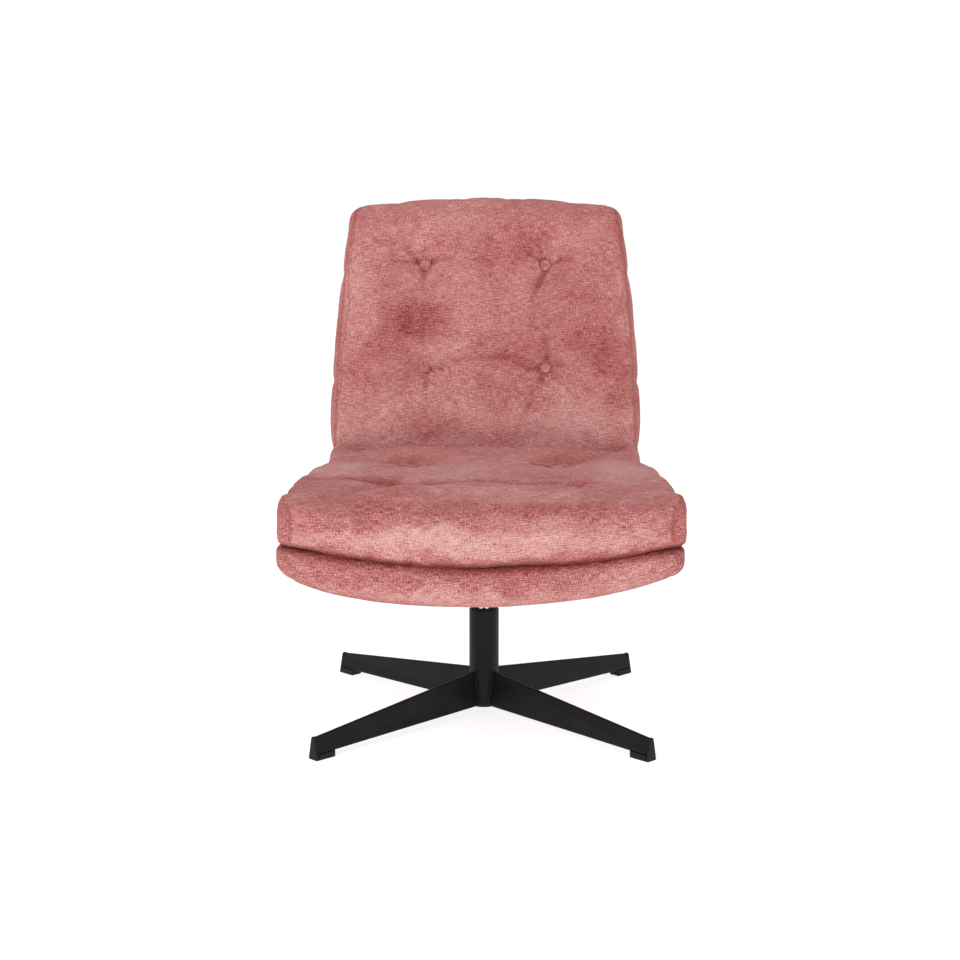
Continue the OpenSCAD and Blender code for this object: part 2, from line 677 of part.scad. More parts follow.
// A covered button: a low dome on a flat base, with a hole for its cord
module button() {
    r = button_d / 2;
    h = 7;
    difference() {
        translate([0, 0, 0.5]) rotate_extrude()
            polygon(concat([[0, 0], [r - 1.5, 0], [r, 1.8]],
                [for (a = [15:15:75]) [r * cos(a), 1.8 + (h - 1.8) * sin(a)]], [[0, h]]));
        translate([0, 0, -1]) cylinder(h = 2.5, d = cord_d);
    }
}
module seat_buttons() color(rose) at_seat_buttons() button();
module back_buttons() color(rose) at_back_buttons() button();
module button_ties() color(nylon) {
    at_seat_buttons() cord(seat_cord, 0);
    at_back_buttons() cord(back_cord, 0);
}
module button_anchors() color(black) {
    at_seat_buttons() anchor(seat_cord, 0);
    at_back_buttons() anchor(back_cord, 0);
}

// ---------------------------------------------------------------- the legs' places

module leg_at(a) rotate([0, 0, a]) leg();
module foot_at(a) rotate([0, 0, a]) foot();
module leg_front_left() leg_at(225);
module leg_front_right() leg_at(315);
module leg_rear_left() leg_at(135);
module leg_rear_right() leg_at(45);
module foot_front_left() foot_at(225);
module foot_front_right() foot_at(315);
module foot_rear_left() foot_at(135);
module foot_rear_right() foot_at(45);

hub_tube();
core_tube();
column_sleeve();
support_disc();
bearing_lower_race();
lower_bush();
upper_bush();
hub_cap();
leg_front_left();
leg_front_right();
leg_rear_left();
leg_rear_right();
foot_front_left();
foot_front_right();
foot_rear_left();
foot_rear_right();
leg_welds();
bearing_cage();
bearing_balls();
bearing_upper_race();
spindle();
retaining_washer();
retaining_circlip();
spindle_socket();
socket_screws();
seat_plate();
plate_bolts();
plate_washers();
tee_nuts();
plywood_shell();
shell_foam();
shell_cover();
seat_cushion_core();
seat_cushion_cover();
back_cushion_core();
back_cushion_cover();
seat_buttons();
back_buttons();
button_ties();
button_anchors();
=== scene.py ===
import json
import math

import bmesh
import bpy
import numpy as np
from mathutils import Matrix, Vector, noise
from mathutils.bvhtree import BVHTree
from mathutils.kdtree import KDTree


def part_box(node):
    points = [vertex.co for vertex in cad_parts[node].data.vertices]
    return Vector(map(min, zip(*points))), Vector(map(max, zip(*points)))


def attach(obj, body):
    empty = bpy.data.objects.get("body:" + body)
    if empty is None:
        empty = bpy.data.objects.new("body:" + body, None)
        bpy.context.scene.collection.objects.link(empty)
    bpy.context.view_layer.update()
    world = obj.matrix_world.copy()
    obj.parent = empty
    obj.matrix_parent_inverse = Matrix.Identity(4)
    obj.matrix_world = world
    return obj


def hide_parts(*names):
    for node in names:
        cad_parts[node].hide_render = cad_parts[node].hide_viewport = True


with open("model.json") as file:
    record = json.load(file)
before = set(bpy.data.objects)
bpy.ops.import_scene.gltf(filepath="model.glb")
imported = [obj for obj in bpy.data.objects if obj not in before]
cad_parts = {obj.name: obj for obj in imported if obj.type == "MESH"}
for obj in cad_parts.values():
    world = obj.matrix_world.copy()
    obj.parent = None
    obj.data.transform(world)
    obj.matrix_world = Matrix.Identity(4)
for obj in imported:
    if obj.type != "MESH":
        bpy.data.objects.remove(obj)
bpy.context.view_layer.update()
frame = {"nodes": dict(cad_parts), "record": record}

# Shapes are worked out in millimetres, as the CAD model is, and scaled when a mesh is made
MM = 0.001
NODES = frame["nodes"]
scene = bpy.context.scene
scene.view_settings.view_transform = "Standard"


# -------- numbers and meshes

def lerp(a, b, t):
    return a + (b - a) * t


def smooth(a, b, x):
    t = np.clip((np.asarray(x, float) - a) / (b - a), 0, 1)
    return t * t * (3 - 2 * t)


def round_end(d, reach, power=2.0):
    """Rises from 0 at d = 0 to 1 at d = reach along a superellipse."""
    t = np.clip(1 - np.asarray(d, float) / reach, 0, 1)
    return (1 - t ** power) ** (1 / power)


def edge_drop(u, power):
    """How far the side of a rounded block has dropped at the share u of its half width."""
    return 1 - round_end(1 - np.minimum(np.abs(u), 1), 1, power)


def fractal(points, size, seed, octaves):
    """Smooth noise at each point in mm, about -1 to 1, its features about size mm across."""
    shift = Vector((seed * 7.31, seed * 3.77, seed * 5.19))
    return np.array([noise.fractal(Vector(p) / size + shift, 1.0, 2.0, octaves) for p in points])


def mesh_object(name, verts, faces):
    mesh = bpy.data.meshes.new(name)
    mesh.from_pydata([tuple(map(float, v)) for v in verts], [], faces)
    mesh.update()
    mesh.polygons.foreach_set("use_smooth", [True] * len(mesh.polygons))
    obj = bpy.data.objects.new(name, mesh)
    scene.collection.objects.link(obj)
    bm = bmesh.new()
    bm.from_mesh(mesh)
    bmesh.ops.recalc_face_normals(bm, faces=bm.faces)
    bm.to_mesh(mesh)
    bm.free()
    return obj


def corner_values(obj, key):
    values = np.empty(len(obj.data.vertices) * 3, np.float32)
    obj.data.vertices.foreach_get(key, values)
    return values.reshape(-1, 3).astype(float)


def coords(obj):
    """Corners of a mesh in mm."""
    return corner_values(obj, "co") / MM


def normals(obj):
    return corner_values(obj, "normal")


def set_coords(obj, co):
    obj.data.vertices.foreach_set("co", (np.asarray(co) * MM).astype(np.float32).ravel())
    obj.data.update()


def apply_modifiers(obj):
    depsgraph = bpy.context.evaluated_depsgraph_get()
    mesh = bpy.data.meshes.new_from_object(obj.evaluated_get(depsgraph))
    old = obj.data
    obj.modifiers.clear()
    obj.data = mesh
    bpy.data.meshes.remove(old)
    mesh.polygons.foreach_set("use_smooth", [True] * len(mesh.polygons))
    return obj


def parts_of(node):
    """The separate solids of a CAD node, each as an array of its corners in mm."""
    bm = bmesh.new()
    bm.from_mesh(NODES[node].data)
    bmesh.ops.remove_doubles(bm, verts=bm.verts, dist=1e-5)
    seen, parts = set(), []
    for first in bm.verts:                  # in their own order, so that each run is the same
        if first in seen:
            continue
        seen.add(first)
        stack, part = [first], []
        while stack:
            vert = stack.pop()
            part.append(tuple(vert.co / MM))
            for edge in vert.link_edges:
                other = edge.other_vert(vert)
                if other not in seen:
                    seen.add(other)
                    stack.append(other)
        parts.append(np.array(part))
    bm.free()
    return sorted(parts, key=lambda p: tuple(np.round(p.mean(0))))


def wall_faces(rows, cols, first=0, closed=False):
    """Quads round a tube of rings of cols corners each, the first corner being number first."""
    i, j = np.meshgrid(np.arange(rows if closed else rows - 1), np.arange(cols), indexing="ij")
    a, b = i * cols + j, i * cols + (j + 1) % cols
    up = ((i + 1) % rows - i) * cols
    return (np.stack([a, b, b + up, a + up], -1).reshape(-1, 4) + first).tolist()


def capped_tube(name, verts, sides, closed=False):
    """A tube from its rings of corners, capped at both ends unless it closes on itself."""
    rows = len(verts) // sides
    faces = wall_faces(rows, sides, closed=closed)
    if not closed:
        faces += [list(range(sides))[::-1], list(range((rows - 1) * sides, rows * sides))]
    return mesh_object(name, verts, faces)


def tube_through(name, rings):
    """A closed surface through rings of equal counts. Each ring starts in the middle of its
    right side and its halves mirror each other, so that a strip of quads closes each end."""
    rings = np.asarray(rings)
    rows, cols = rings.shape[:2]
    faces = wall_faces(rows, cols)
    half = cols // 2
    for base in (0, (rows - 1) * cols):
        pairs = [(base + k, base + (cols - k) % cols) for k in range(half + 1)]
        for (p, q), (r, t) in zip(pairs[:-1], pairs[1:]):
            faces.append([v for k, v in enumerate((p, r, t, q)) if v not in (p, r, t, q)[:k]])
    return mesh_object(name, rings.reshape(-1, 3) * MM, faces)


# -------- the CAD model's own curves

seat_low, seat_high = (np.array(v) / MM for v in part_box("seat_cushion_cover"))
back_low, back_high = (np.array(v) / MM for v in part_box("back_cushion_cover"))

LEAN = math.radians(14.5)
TURN = math.pi / 2 - LEAN
GAP = 0.4                                   # between soft solids
SEAT_T, BACK_T = 99.0, 88.0                 # thickness of the cushions
SEAT_BASE_Z = seat_low[2]
PATH_Y, PATH_Z = seat_low[1] + 29, SEAT_BASE_Z - GAP
BEND_R = 70.0
BACK_UP = np.array([math.sin(LEAN), math.cos(LEAN)])      # in the YZ plane
BACK_OUT = np.array([-math.cos(LEAN), math.sin(LEAN)])    # towards the sitter
CUSHION_FOOT_Y = 156.0                      # where the back cushion's front meets the seat
HEEL = np.array([CUSHION_FOOT_Y, SEAT_BASE_Z + SEAT_T]) - (BACK_T + GAP) * BACK_OUT
SEAT_RUN = HEEL[0] - (HEEL[1] - PATH_Z) * math.tan(LEAN) - BEND_R * math.tan(TURN / 2) - PATH_Y
BEND_RUN = BEND_R * TURN
BEND_END_Z = PATH_Z + BEND_R * (1 - math.sin(LEAN))
BACK_RUN = (back_high[2] - 19 - BEND_END_Z) / math.cos(LEAN)
PATH_LEN = SEAT_RUN + BEND_RUN + BACK_RUN
BACK_LIFT = 5.0                             # from the heel to the back cushion's foot
BACK_DROP = (0.75 * BACK_T + GAP) * math.sin(LEAN)        # its top front edge is the highest
BACK_LEN = (back_high[2] - HEEL[1] - BACK_DROP) / math.cos(LEAN) - BACK_LIFT
CAMBER_HALF = 280.0                         # half width that the cambers are given for
SWELL_START = 7.0                           # a cushion starts this much smaller, then swells
TUFT = 17.0                                 # depth of a tuft's floor below the cushion
PROUD = 12.0                                # how far a cushion may stand past its CAD box


def on_path(s, x, n, shift=0.0):
    """Points of the shell: s along its path, x across, n towards the sitter."""
    s, x, n, shift = np.broadcast_arrays(*(np.asarray(a, float) for a in (s, x, n, shift)))
    a = TURN * np.clip((s - SEAT_RUN) / BEND_RUN, 0, 1)
    up = np.maximum(s - SEAT_RUN - BEND_RUN, 0)
    y = PATH_Y + np.minimum(s, SEAT_RUN) + BEND_R * np.sin(a) + up * BACK_UP[0]
    z = PATH_Z + BEND_R * (1 - np.cos(a)) + up * BACK_UP[1]
    return np.stack([x, y - n * np.sin(a) + shift * np.cos(a),
                     z + n * np.cos(a) + shift * np.sin(a)], -1)


def camber(s, x):
    """Height of the shell's inner face at a place x above its middle."""
    return lerp(26.0, 12.0, smooth(SEAT_RUN - 60, SEAT_RUN + BEND_RUN, s)) * (x / CAMBER_HALF) ** 2


# -------- cushions

class Pad:
    """A cushion in its own frame: s along it, x across, n up from the shell's face."""

    corner_r, heel_r = 18.0, 10.0           # radii of its upper and lower side edges
    near_end = far_end = 0.5                # share of its height that each end starts with
    near_pull = far_pull = 22.0             # how far the corners of each end are drawn in
    pull = 12.0                             # depth of the dish that each button pulls
    pressure, slack = 4.0, 0.02             # of the cloth that swells it
    far_crown = edge_lift = 0.0             # how far its far end and its top edges swell out

    def __init__(self, length, width, far_width, thick, rows, button_x):
        self.length, self.thick = length, thick
        self.half_near, self.half_far = width / 2, far_width / 2
        self.rows, self.button_x = rows, button_x
        self.level_to = length - self.level_end

    def tufts(self):
        return [(r, side * self.button_x) for r in self.rows for side in (-1, 1)]

    def crown(self, s, x):
        u = np.minimum(1, np.abs(x) / self.half(s))
        return 3 * np.sin(math.pi * s / self.length) * (1 - u * u)

    def rings(self, inset, flat=40, arc=8, wall=4):
        """Rings along the cushion, drawn in by inset(s) at its top, sides and ends."""
        ends = np.array([0, 1, 3, 6, 10, 15, 21, 28])
        s = np.concatenate([ends, np.linspace(36, self.length - 36, 90), self.length - ends[::-1]])
        a = np.linspace(0, math.pi / 2, arc + 1)[1:]
        out = []
        for si in s:
            d = inset(si)
            end = min(max(self.near_end, round_end(si, 30, 2.3)),
                      max(self.far_end, round_end(self.length - si, 34, 2.2)))
            w0 = self.half(si)
            w = w0 - d - self.drawn_in(si)
            top_r, low_r = self.corner_r, self.heel_r
            t = self.top(si, w0) - self.low(si, w0)
            upper = [(x, 1.0) for x in np.linspace(0, w - top_r, flat)]
            upper += [(w - top_r * (1 - math.sin(b)), 1 - top_r / t * (1 - math.cos(b))) for b in a]
            lower = [(x, 0.0) for x in np.linspace(0, w - low_r, flat)]
            lower += [(w - low_r * (1 - math.sin(b)), low_r / t * (1 - math.cos(b))) for b in a]
            side = np.linspace(1 - top_r / t, low_r / t, 2 * wall + 3)[1:-1]
            half = np.array(upper + [(w, q) for q in side] + lower[::-1])
            # from the middle of the right side, so that the end strips run top to bottom
            ring = np.roll(np.concatenate([half, (half * [-1, 1])[-2:0:-1]]), -(len(half) // 2), 0)
            x, share = ring[:, 0], ring[:, 1]
            u = x / w
            toward_side = np.sign(x) * lerp(np.abs(x), w0, (np.abs(u) - 0.75) * 4)
            xo = np.where(np.abs(u) < 0.75, x, toward_side)
            hi, lo = self.top(si, xo) - d, self.low(si, xo) + 1
            mid = (hi + lo) / 2
            n = mid + (lerp(lo, hi, share) - mid) * end
            out.append(np.stack([x, si + self.shift(si, u) + d * self.toward_middle(si), n], -1))
        return np.array(out)

    def drawn_in(self, s):
        return (self.near_pull * (1 - round_end(s, 34))
                + self.far_pull * (1 - round_end(self.length - s, 40)))

    def toward_middle(self, s):
        """1 at the near end, 0 between and -1 at the far end."""
        return 1 - smooth(0, 60, s) - smooth(self.length - 60, self.length, s)

    # Each kind of cushion adds: half(s), its half width; low(s, x) and top(s, x), its faces;
    # shift(s, u), the bow of its ends; side(s, n), how far its sides stand out; free(s, n),
    # the share of its swelling that it keeps; seam_inset, weave_run and pile for its cloth


class SeatPad(Pad):
    y0 = seat_low[1] + 22
    near_end, near_pull, corner_r = 0.7, 8.0, 12.0
    reach, cap, proud, edge_lift = 66.0, 30.0, 3.0, 5.0
    level_end = 150                         # its top dips this far from its rear

    def half(self, s):
        return lerp(self.half_near, self.half_far, s / self.length)

    def low(self, s, x):
        reach = np.maximum(0, s + self.y0 - PATH_Y - SEAT_RUN + 3)
        bend = BEND_R - np.sqrt(np.maximum(1, BEND_R ** 2 - reach ** 2))
        return camber(s + self.y0 - PATH_Y, x) + bend

    def top(self, s, x):
        dip = 15 * smooth(self.length - 110, self.length - 20, s)
        return self.thick + 3 * (x / CAMBER_HALF) ** 2 + self.crown(s, x) - dip

    def shift(self, s, u):
        return -22 * (1 - smooth(0, 260, s)) * (1 - u * u)

    def side(self, s, n):
        h = n / self.thick
        rear = 15 * smooth(340, 500, s) * smooth(0.2, 0.9, h)
        edge = 6 * smooth(0.5, 0.95, h) * (1 - smooth(300, 460, s))
        front = 7 * (1 - smooth(-15, 40, s)) * smooth(0.6, 0.95, h)
        return 6 * np.exp(-((h - 0.36) / 0.3) ** 2) + edge - rear - front

    def free(self, s, n):
        under_back = smooth(self.length - 130, self.length - 90, s)
        return 1 - under_back * smooth(0.4, 0.6, n / self.thick)

    def seam_inset(self, s, n):
        return 7 + 14 * (1 - smooth(0, 26, s)) * smooth(self.thick - 2, self.thick - 14, n)

    def weave_run(self, s, x, n):
        """The weave's own length, which runs on from the top over the nose and down it."""
        face = smooth(0.35, 0.65, n / self.thick) * 2 - 1
        return n - self.thick + (s - self.shift(s, np.clip(x / self.half(s), -1, 1))) * face

    def pile(self, s):
        """How far the pile opens: most where the cloth bends over the nose."""
        return 1 + 0.45 * smooth(30, -10, s)

    def place(self, p):
        return p + [0, self.y0, SEAT_BASE_Z]

    def unplace(self, p):
        return p - [0, self.y0, SEAT_BASE_Z]


class BackPad(Pad):
    near_end, near_pull, far_pull = 0.8, 16.0, 32.0
    reach, cap, proud, far_crown = 58.0, 28.0, 4.0, 8.0
    level_end = 60

    def half(self, s):
        return lerp(self.half_near, self.half_far, (np.clip(s, 0, None) / self.length) ** 2.6)

    def low(self, s, x):
        return camber(PATH_LEN, x)

    def top(self, s, x):
        return self.thick + 4 * (x / CAMBER_HALF) ** 2 + self.crown(s, x)

    def shift(self, s, u):
        return -12 * smooth(self.length - 150, self.length, s) * u * u

    def side(self, s, n):
        return 3 * (1 - smooth(20, 280, s))

    def free(self, s, n):
        return smooth(0, 18, s)

    def seam_inset(self, s, n):
        return 11

    def weave_run(self, s, x, n):
        return s + (self.thick - n) * (smooth(120, 300, s) * 2 - 1)

    def pile(self, s):
        return np.full(len(s), 1.08)

    def place(self, p):
        q = HEEL + (p[..., 1:2] + BACK_LIFT) * BACK_UP + (p[..., 2:3] + GAP) * BACK_OUT
        return np.concatenate([p[..., :1], q], -1)

    def unplace(self, p):
        q = p[..., 1:] - HEEL
        return np.stack([p[..., 0], q @ BACK_UP - BACK_LIFT, q @ BACK_OUT - GAP], -1)


# Length, widths at the near and far ends, thickness, rows of buttons and their distance across
SEAT = SeatPad(590.0, 600.0, 562.0, SEAT_T, (163.0, 393.0), 124.0)
BACK = BackPad(BACK_LEN, 548.0, 474.0, BACK_T, (145.0, 331.0), 107.0)


VOXEL, QUICK_VOXEL = 6.0, 9.0               # of a cushion before it is subdivided


def remesh(obj):
    mod = obj.modifiers.new("voxels", "REMESH")
    mod.mode = "VOXEL"
    mod.voxel_size = VOXEL * MM
    return apply_modifiers(obj)


def subdivide(obj):
    mod = obj.modifiers.new("subdivision", "SUBSURF")
    mod.levels = mod.render_levels = 1
    return apply_modifiers(obj)


def relax(obj, rounds, hold=None):
    """Evens out a surface in pairs of steps, inwards and then outwards, so that it doesn't
    shrink; the corners in hold stay."""
    co = coords(obj)
    e = np.empty(len(obj.data.edges) * 2, np.int32)
    obj.data.edges.foreach_get("vertices", e)
    e = e.reshape(-1, 2)
    count = np.bincount(e.ravel(), minlength=len(co))[:, None]
    for k in range(2 * rounds):
        total = np.stack([np.bincount(e[:, 0], co[e[:, 1], a], len(co))
                          + np.bincount(e[:, 1], co[e[:, 0], a], len(co)) for a in range(3)], -1)
        step = (total / np.maximum(count, 1) - co) * (0.55 if k % 2 == 0 else -0.52)
        co += step if hold is None else np.where(hold[:, None], 0, step)
    set_coords(obj, co)


SIM_FRAMES = 20


def swell(obj, pinned, pressure, slack, cap):
    """Cloth blown up by pressure, its pinned corners held, then applied, no point moving
    further than cap mm."""
    start = coords(obj)
    group = obj.vertex_groups.new(name="pin")
    group.add([int(i) for i in np.nonzero(pinned)[0]], 1.0, "REPLACE")
    mod = obj.modifiers.new("cloth", "CLOTH")
    cloth = mod.settings
    cloth.quality = 5
    cloth.mass = 0.3
    cloth.tension_stiffness = cloth.compression_stiffness = 15
    cloth.shear_stiffness = 5
    cloth.bending_stiffness = 0.5
    cloth.use_pressure = True
    cloth.uniform_pressure_force = pressure
    cloth.shrink_min = -slack
    cloth.vertex_group_mass = "pin"
    cloth.effector_weights.gravity = 0
    mod.collision_settings.use_collision = False
    mod.point_cache.frame_start, mod.point_cache.frame_end = 1, SIM_FRAMES
    for f in range(1, SIM_FRAMES + 1):
        scene.frame_set(f)
    apply_modifiers(obj)
    scene.frame_set(1)
    move = coords(obj) - start
    far = np.maximum(np.linalg.norm(move, axis=1, keepdims=True), 1e-9)
    set_coords(obj, start + move * cap * np.tanh(far / cap) / far)


def tuft_depth(pad, s, x, depth, reach, point):
    """A soft dish at each button with a narrower funnel in it; point is the funnel's share."""
    total = np.zeros_like(s)
    for row, across in pad.tufts():
        d = np.hypot(s - row, x - across)
        dish = (1 - point) * (1 - smooth(0, reach, d)) ** 1.3
        total = np.maximum(total, depth * (dish + point * np.exp(-(d / (0.26 * reach)) ** 1.4)))
    return total


def groove(p, line, width, depth):
    """Depth of a crease along a line of points, with the cloth raised beside it. It is deepest
    just after its start and fades towards its end."""
    line = np.asarray(line, float)
    best, where = np.full(len(p), 1e9), np.zeros(len(p))
    lengths = np.linalg.norm(np.diff(line, axis=0), axis=1)
    start = np.concatenate([[0], np.cumsum(lengths)])
    for k, size in enumerate(lengths):
        a, ab = line[k], line[k + 1] - line[k]
        t = np.clip((p - a) @ ab / size ** 2, 0, 1)
        d = np.linalg.norm(p - a - t[:, None] * ab, axis=1)
        where = np.where(d < best, (start[k] + t * size) / start[-1], where)
        best = np.minimum(best, d)
    r = best / width
    fade = np.sqrt(np.clip(1 - where, 0, 1)) * smooth(-0.02, 0.08, where + 0.02)
    return depth * fade * (np.exp(-r ** 2) - 0.35 * np.exp(-((r - 2.1) / 1.1) ** 2))


def curve_points(points, count=24):
    """A smooth line through a few given points."""
    p = np.asarray(points, float)
    at = np.linspace(0, 1, len(p))
    t = np.linspace(0, 1, count)
    if len(p) < 4:
        return np.stack([np.polyval(np.polyfit(at, p[:, k], len(p) - 1), t)
                         for k in range(p.shape[1])], -1)
    padded = np.concatenate([[2 * p[0] - p[1]], p, [2 * p[-1] - p[-2]]])
    out = []
    for v in t * (len(p) - 1):
        i = min(int(v), len(p) - 2)
        f = v - i
        a, b, c, d = padded[i:i + 4]
        out.append(0.5 * (2 * b + (c - a) * f + (2 * a - 5 * b + 4 * c - d) * f * f
                          + (3 * b - a - 3 * c + d) * f ** 3))
    return np.array(out)


FOLD_SCALE, CREASE_SCALE = 1.9, 1.7         # both deepen the depths given here
# Folds round the back's buttons, by (s, x): angle in degrees from +x, length, depth and bend
BACK_FOLDS = {
    (145.0, -107.0): [(8, 46, 2.0, -8), (-84, 40, 1.9, 6), (172, 38, 1.5, 5), (118, 34, 1.3, -4),
                      (-38, 26, 1.1, 3), (62, 30, 1.2, 4)],
    (145.0, 107.0): [(170, 60, 3.0, 14), (96, 66, 1.8, -8), (-100, 52, 2.2, -6), (4, 36, 1.5, 5),
                     (-50, 34, 1.5, 4), (135, 26, 1.2, 3)],
    (331.0, -107.0): [(136, 56, 2.6, 6), (176, 58, 2.4, -8), (92, 44, 2.0, 3), (12, 56, 2.6, 8),
                      (-92, 48, 2.2, -5), (-140, 30, 1.2, 3), (50, 28, 1.2, -3)],
    (331.0, 107.0): [(148, 52, 2.8, -6), (104, 48, 2.0, 4), (66, 34, 1.6, 3), (10, 54, 2.2, 6),
                     (-112, 62, 2.6, 8), (-44, 30, 1.3, -3), (192, 36, 1.4, 4)],
}
# Folds round the seat's buttons
SEAT_FOLDS = {
    (163.0, -124.0): [(178, 66, 3.4, 10), (2, 72, 3.6, -10), (-88, 40, 1.6, 4), (60, 36, 1.6, -4),
                      (122, 38, 1.6, 4)],
    (163.0, 124.0): [(176, 70, 3.0, 8), (4, 56, 2.8, -8), (-94, 36, 1.5, -4), (70, 38, 1.6, 4),
                     (118, 30, 1.4, -3)],
    (393.0, -124.0): [(170, 60, 3.0, 8), (6, 54, 2.6, 8), (-80, 44, 1.8, 4), (96, 40, 1.8, -4)],
    (393.0, 124.0): [(174, 54, 2.6, -8), (2, 60, 2.8, 10), (-98, 40, 1.8, -4), (88, 42, 1.8, 4)],
}
# Long creases: points (x, s), width and depth
BACK_CREASES = [
    ([(98, 148), (70, 158), (20, 161), (-40, 158), (-92, 150)], 6.0, 2.2),
    ([(104, 322), (88, 285), (85, 235), (92, 190), (104, 155)], 6.0, 1.1),
    ([(100, 138), (86, 105), (74, 70), (58, 30), (50, 4)], 6.0, 1.7),
    ([(-112, 136), (-106, 110), (-104, 84)], 5.0, 1.6),
]
SEAT_CREASES = [
    ([(-118, 166), (-60, 176), (0, 174), (60, 176), (118, 166)], 8.0, 2.0),
    ([(-130, 160), (-190, 168), (-240, 186)], 8.0, 2.2),
    ([(130, 160), (190, 168), (236, 182)], 8.0, 2.0),
]


def folds_depth(p, folds, creases):
    """Total depth of the folds at points (x, s)."""
    total = np.zeros(len(p))
    for (row, across), rays in folds.items():
        for angle, length, depth, bend in rays:
            a = math.radians(angle)
            way, side = np.array([math.cos(a), math.sin(a)]), np.array([-math.sin(a), math.cos(a)])
            hub = np.array([across, row])
            line = [hub + way * f * length + side * bend * (f - f * f) * 4 * 0.5
                    for f in np.linspace(0.12, 1, 8)]
            total += groove(p, line, 3.2 + 0.03 * length, FOLD_SCALE * depth)
    for points, width, depth in creases:
        total += groove(p, curve_points(points), width, CREASE_SCALE * depth)
    return total


def surface_tree(obj):
    return BVHTree.FromObject(obj, bpy.context.evaluated_depsgraph_get())


def on_surface(tree, points, lift=0.0):
    """The nearest points of a surface, raised by lift mm."""
    out = []
    for p in points:
        hit, normal, _, _ = tree.find_nearest(Vector(p) * MM)
        out.append(np.array(hit) / MM + lift * np.array(normal))
    return np.array(out)


def even(points, step, closed):
    """A line resampled at even steps of about step mm."""
    p = np.asarray(points, float)
    if closed:
        p = np.concatenate([p, p[:1]])
    run = np.concatenate([[0], np.cumsum(np.linalg.norm(np.diff(p, axis=0), axis=1))])
    count = max(4, int(round(run[-1] / step)))
    at = np.linspace(0, run[-1], count if closed else count + 1, endpoint=not closed)
    return np.stack([np.interp(at, run, p[:, k]) for k in range(3)], -1)


SEAM_W, SEAM_REACH = 2.6, 12.0              # half width of a seam's groove, and its reach
PUCKER_PITCH = 6.5                          # in steps of the seam's line


def sew(obj, name, line, depth=1.5, pucker=0.15, thread=0.7, closed=True):
    """A sewn seam: the cloth is drawn in along the line and puckers beside it, and the seam's
    own fold runs in the bottom of the groove. Returns that fold as an object."""
    line = even(on_surface(surface_tree(obj), even(line, 4, closed)), 2.0, closed)
    tree = KDTree(len(line))
    for k, p in enumerate(line):
        tree.insert(Vector(p), k)
    tree.balance()
    co, no = coords(obj), normals(obj)
    low, high = line.min(0) - SEAM_REACH, line.max(0) + SEAM_REACH
    near = np.nonzero(np.all((co > low) & (co < high), axis=1))[0]
    for i in near:
        _, k, d = tree.find(Vector(co[i]))
        if d < SEAM_REACH:
            beside = math.exp(-((d - 5.5) / 3.0) ** 2)
            lift = pucker * beside * (1 + 0.8 * math.sin(2 * math.pi * k / PUCKER_PITCH))
            co[i] += no[i] * (lift - depth * math.exp(-(d / SEAM_W) ** 2))
    set_coords(obj, co)
    path = on_surface(surface_tree(obj), line, 0.25 * thread)
    return cord_mesh(name, path, thread, closed)


def cord_mesh(name, path, radius, closed, sides=6):
    """A thin round tube along a line."""
    ahead = np.roll(path, -1, 0) - np.roll(path, 1, 0)
    if not closed:
        ahead[0], ahead[-1] = path[1] - path[0], path[-1] - path[-2]
    ahead /= np.linalg.norm(ahead, axis=1, keepdims=True) + 1e-9
    verts, side = [], np.array([0.3, 0.2, 0.9])
    for p, t in zip(path, ahead):
        side = side - (side @ t) * t
        side /= np.linalg.norm(side)
        other = np.cross(t, side)
        for k in range(sides):
            a = 2 * math.pi * k / sides
            verts.append((p + radius * (math.cos(a) * side + math.sin(a) * other)) * MM)
    return capped_tube(name, verts, sides, closed)


def set_cloth(obj, weave, nap_and_painted_light, bloom):
    """What the cloth's material reads at each corner: the weave's own coordinates in mm, the lie of
    the nap with painted shade and painted light (darker above 0), and how far the pile opens (1
    where it lies flat)."""
    count = len(obj.data.vertices)
    for name, kind, key, values in (("cloth", "FLOAT_VECTOR", "vector", weave * MM),
                                    ("nap_and_painted_light", "FLOAT", "value", np.broadcast_to(nap_and_painted_light, count)),
                                    ("bloom", "FLOAT", "value", np.broadcast_to(bloom, count))):
        attribute = obj.data.attributes.new(name, kind, "POINT")
        attribute.data.foreach_set(key, np.asarray(values, np.float32).ravel())


GUSSET_SHIFT = 500.0                        # so that a gusset's weave isn't its neighbour's


def cloth_coords(obj, along, across, gusset, patches, seed, bloom, painted_shade):
    """Lays the cloth on a large piece. Its gussets have a weave of their own, and patches are its
    brushed areas
    and its painted shade and painted light: (across, along, half width, half height, darker or
    paler). The last argument is shade painted into its folds, tufts and crevices."""
    co = coords(obj)
    u = np.where(gusset, co[:, 1] + np.abs(co[:, 0]), across)
    v = np.where(gusset, co[:, 2], along)
    # the nap's own tone plus the painted shade; the patches below add more painted shade and
    # painted light
    nap_and_painted_light = 0.5 * fractal(co, 110, seed, 3) + 0.35 * fractal(co, 34, seed + 5, 3) + painted_shade
    bend = 26 * fractal(co, 45, seed + 1, 2)
    for pu, pv, ru, rv, power in patches:
        d = np.hypot((u - pu + bend) / ru, (v - pv + bend * 0.8) / rv)
        nap_and_painted_light += power * (1 - smooth(0.45, 1.25, d)) * np.where(gusset, 0.3, 1.0)
    nap_and_painted_light += np.where(gusset, 0.4, 0.0)
    set_cloth(obj, np.stack([u, v, np.where(gusset, GUSSET_SHIFT, 0.0)], -1), nap_and_painted_light, bloom)


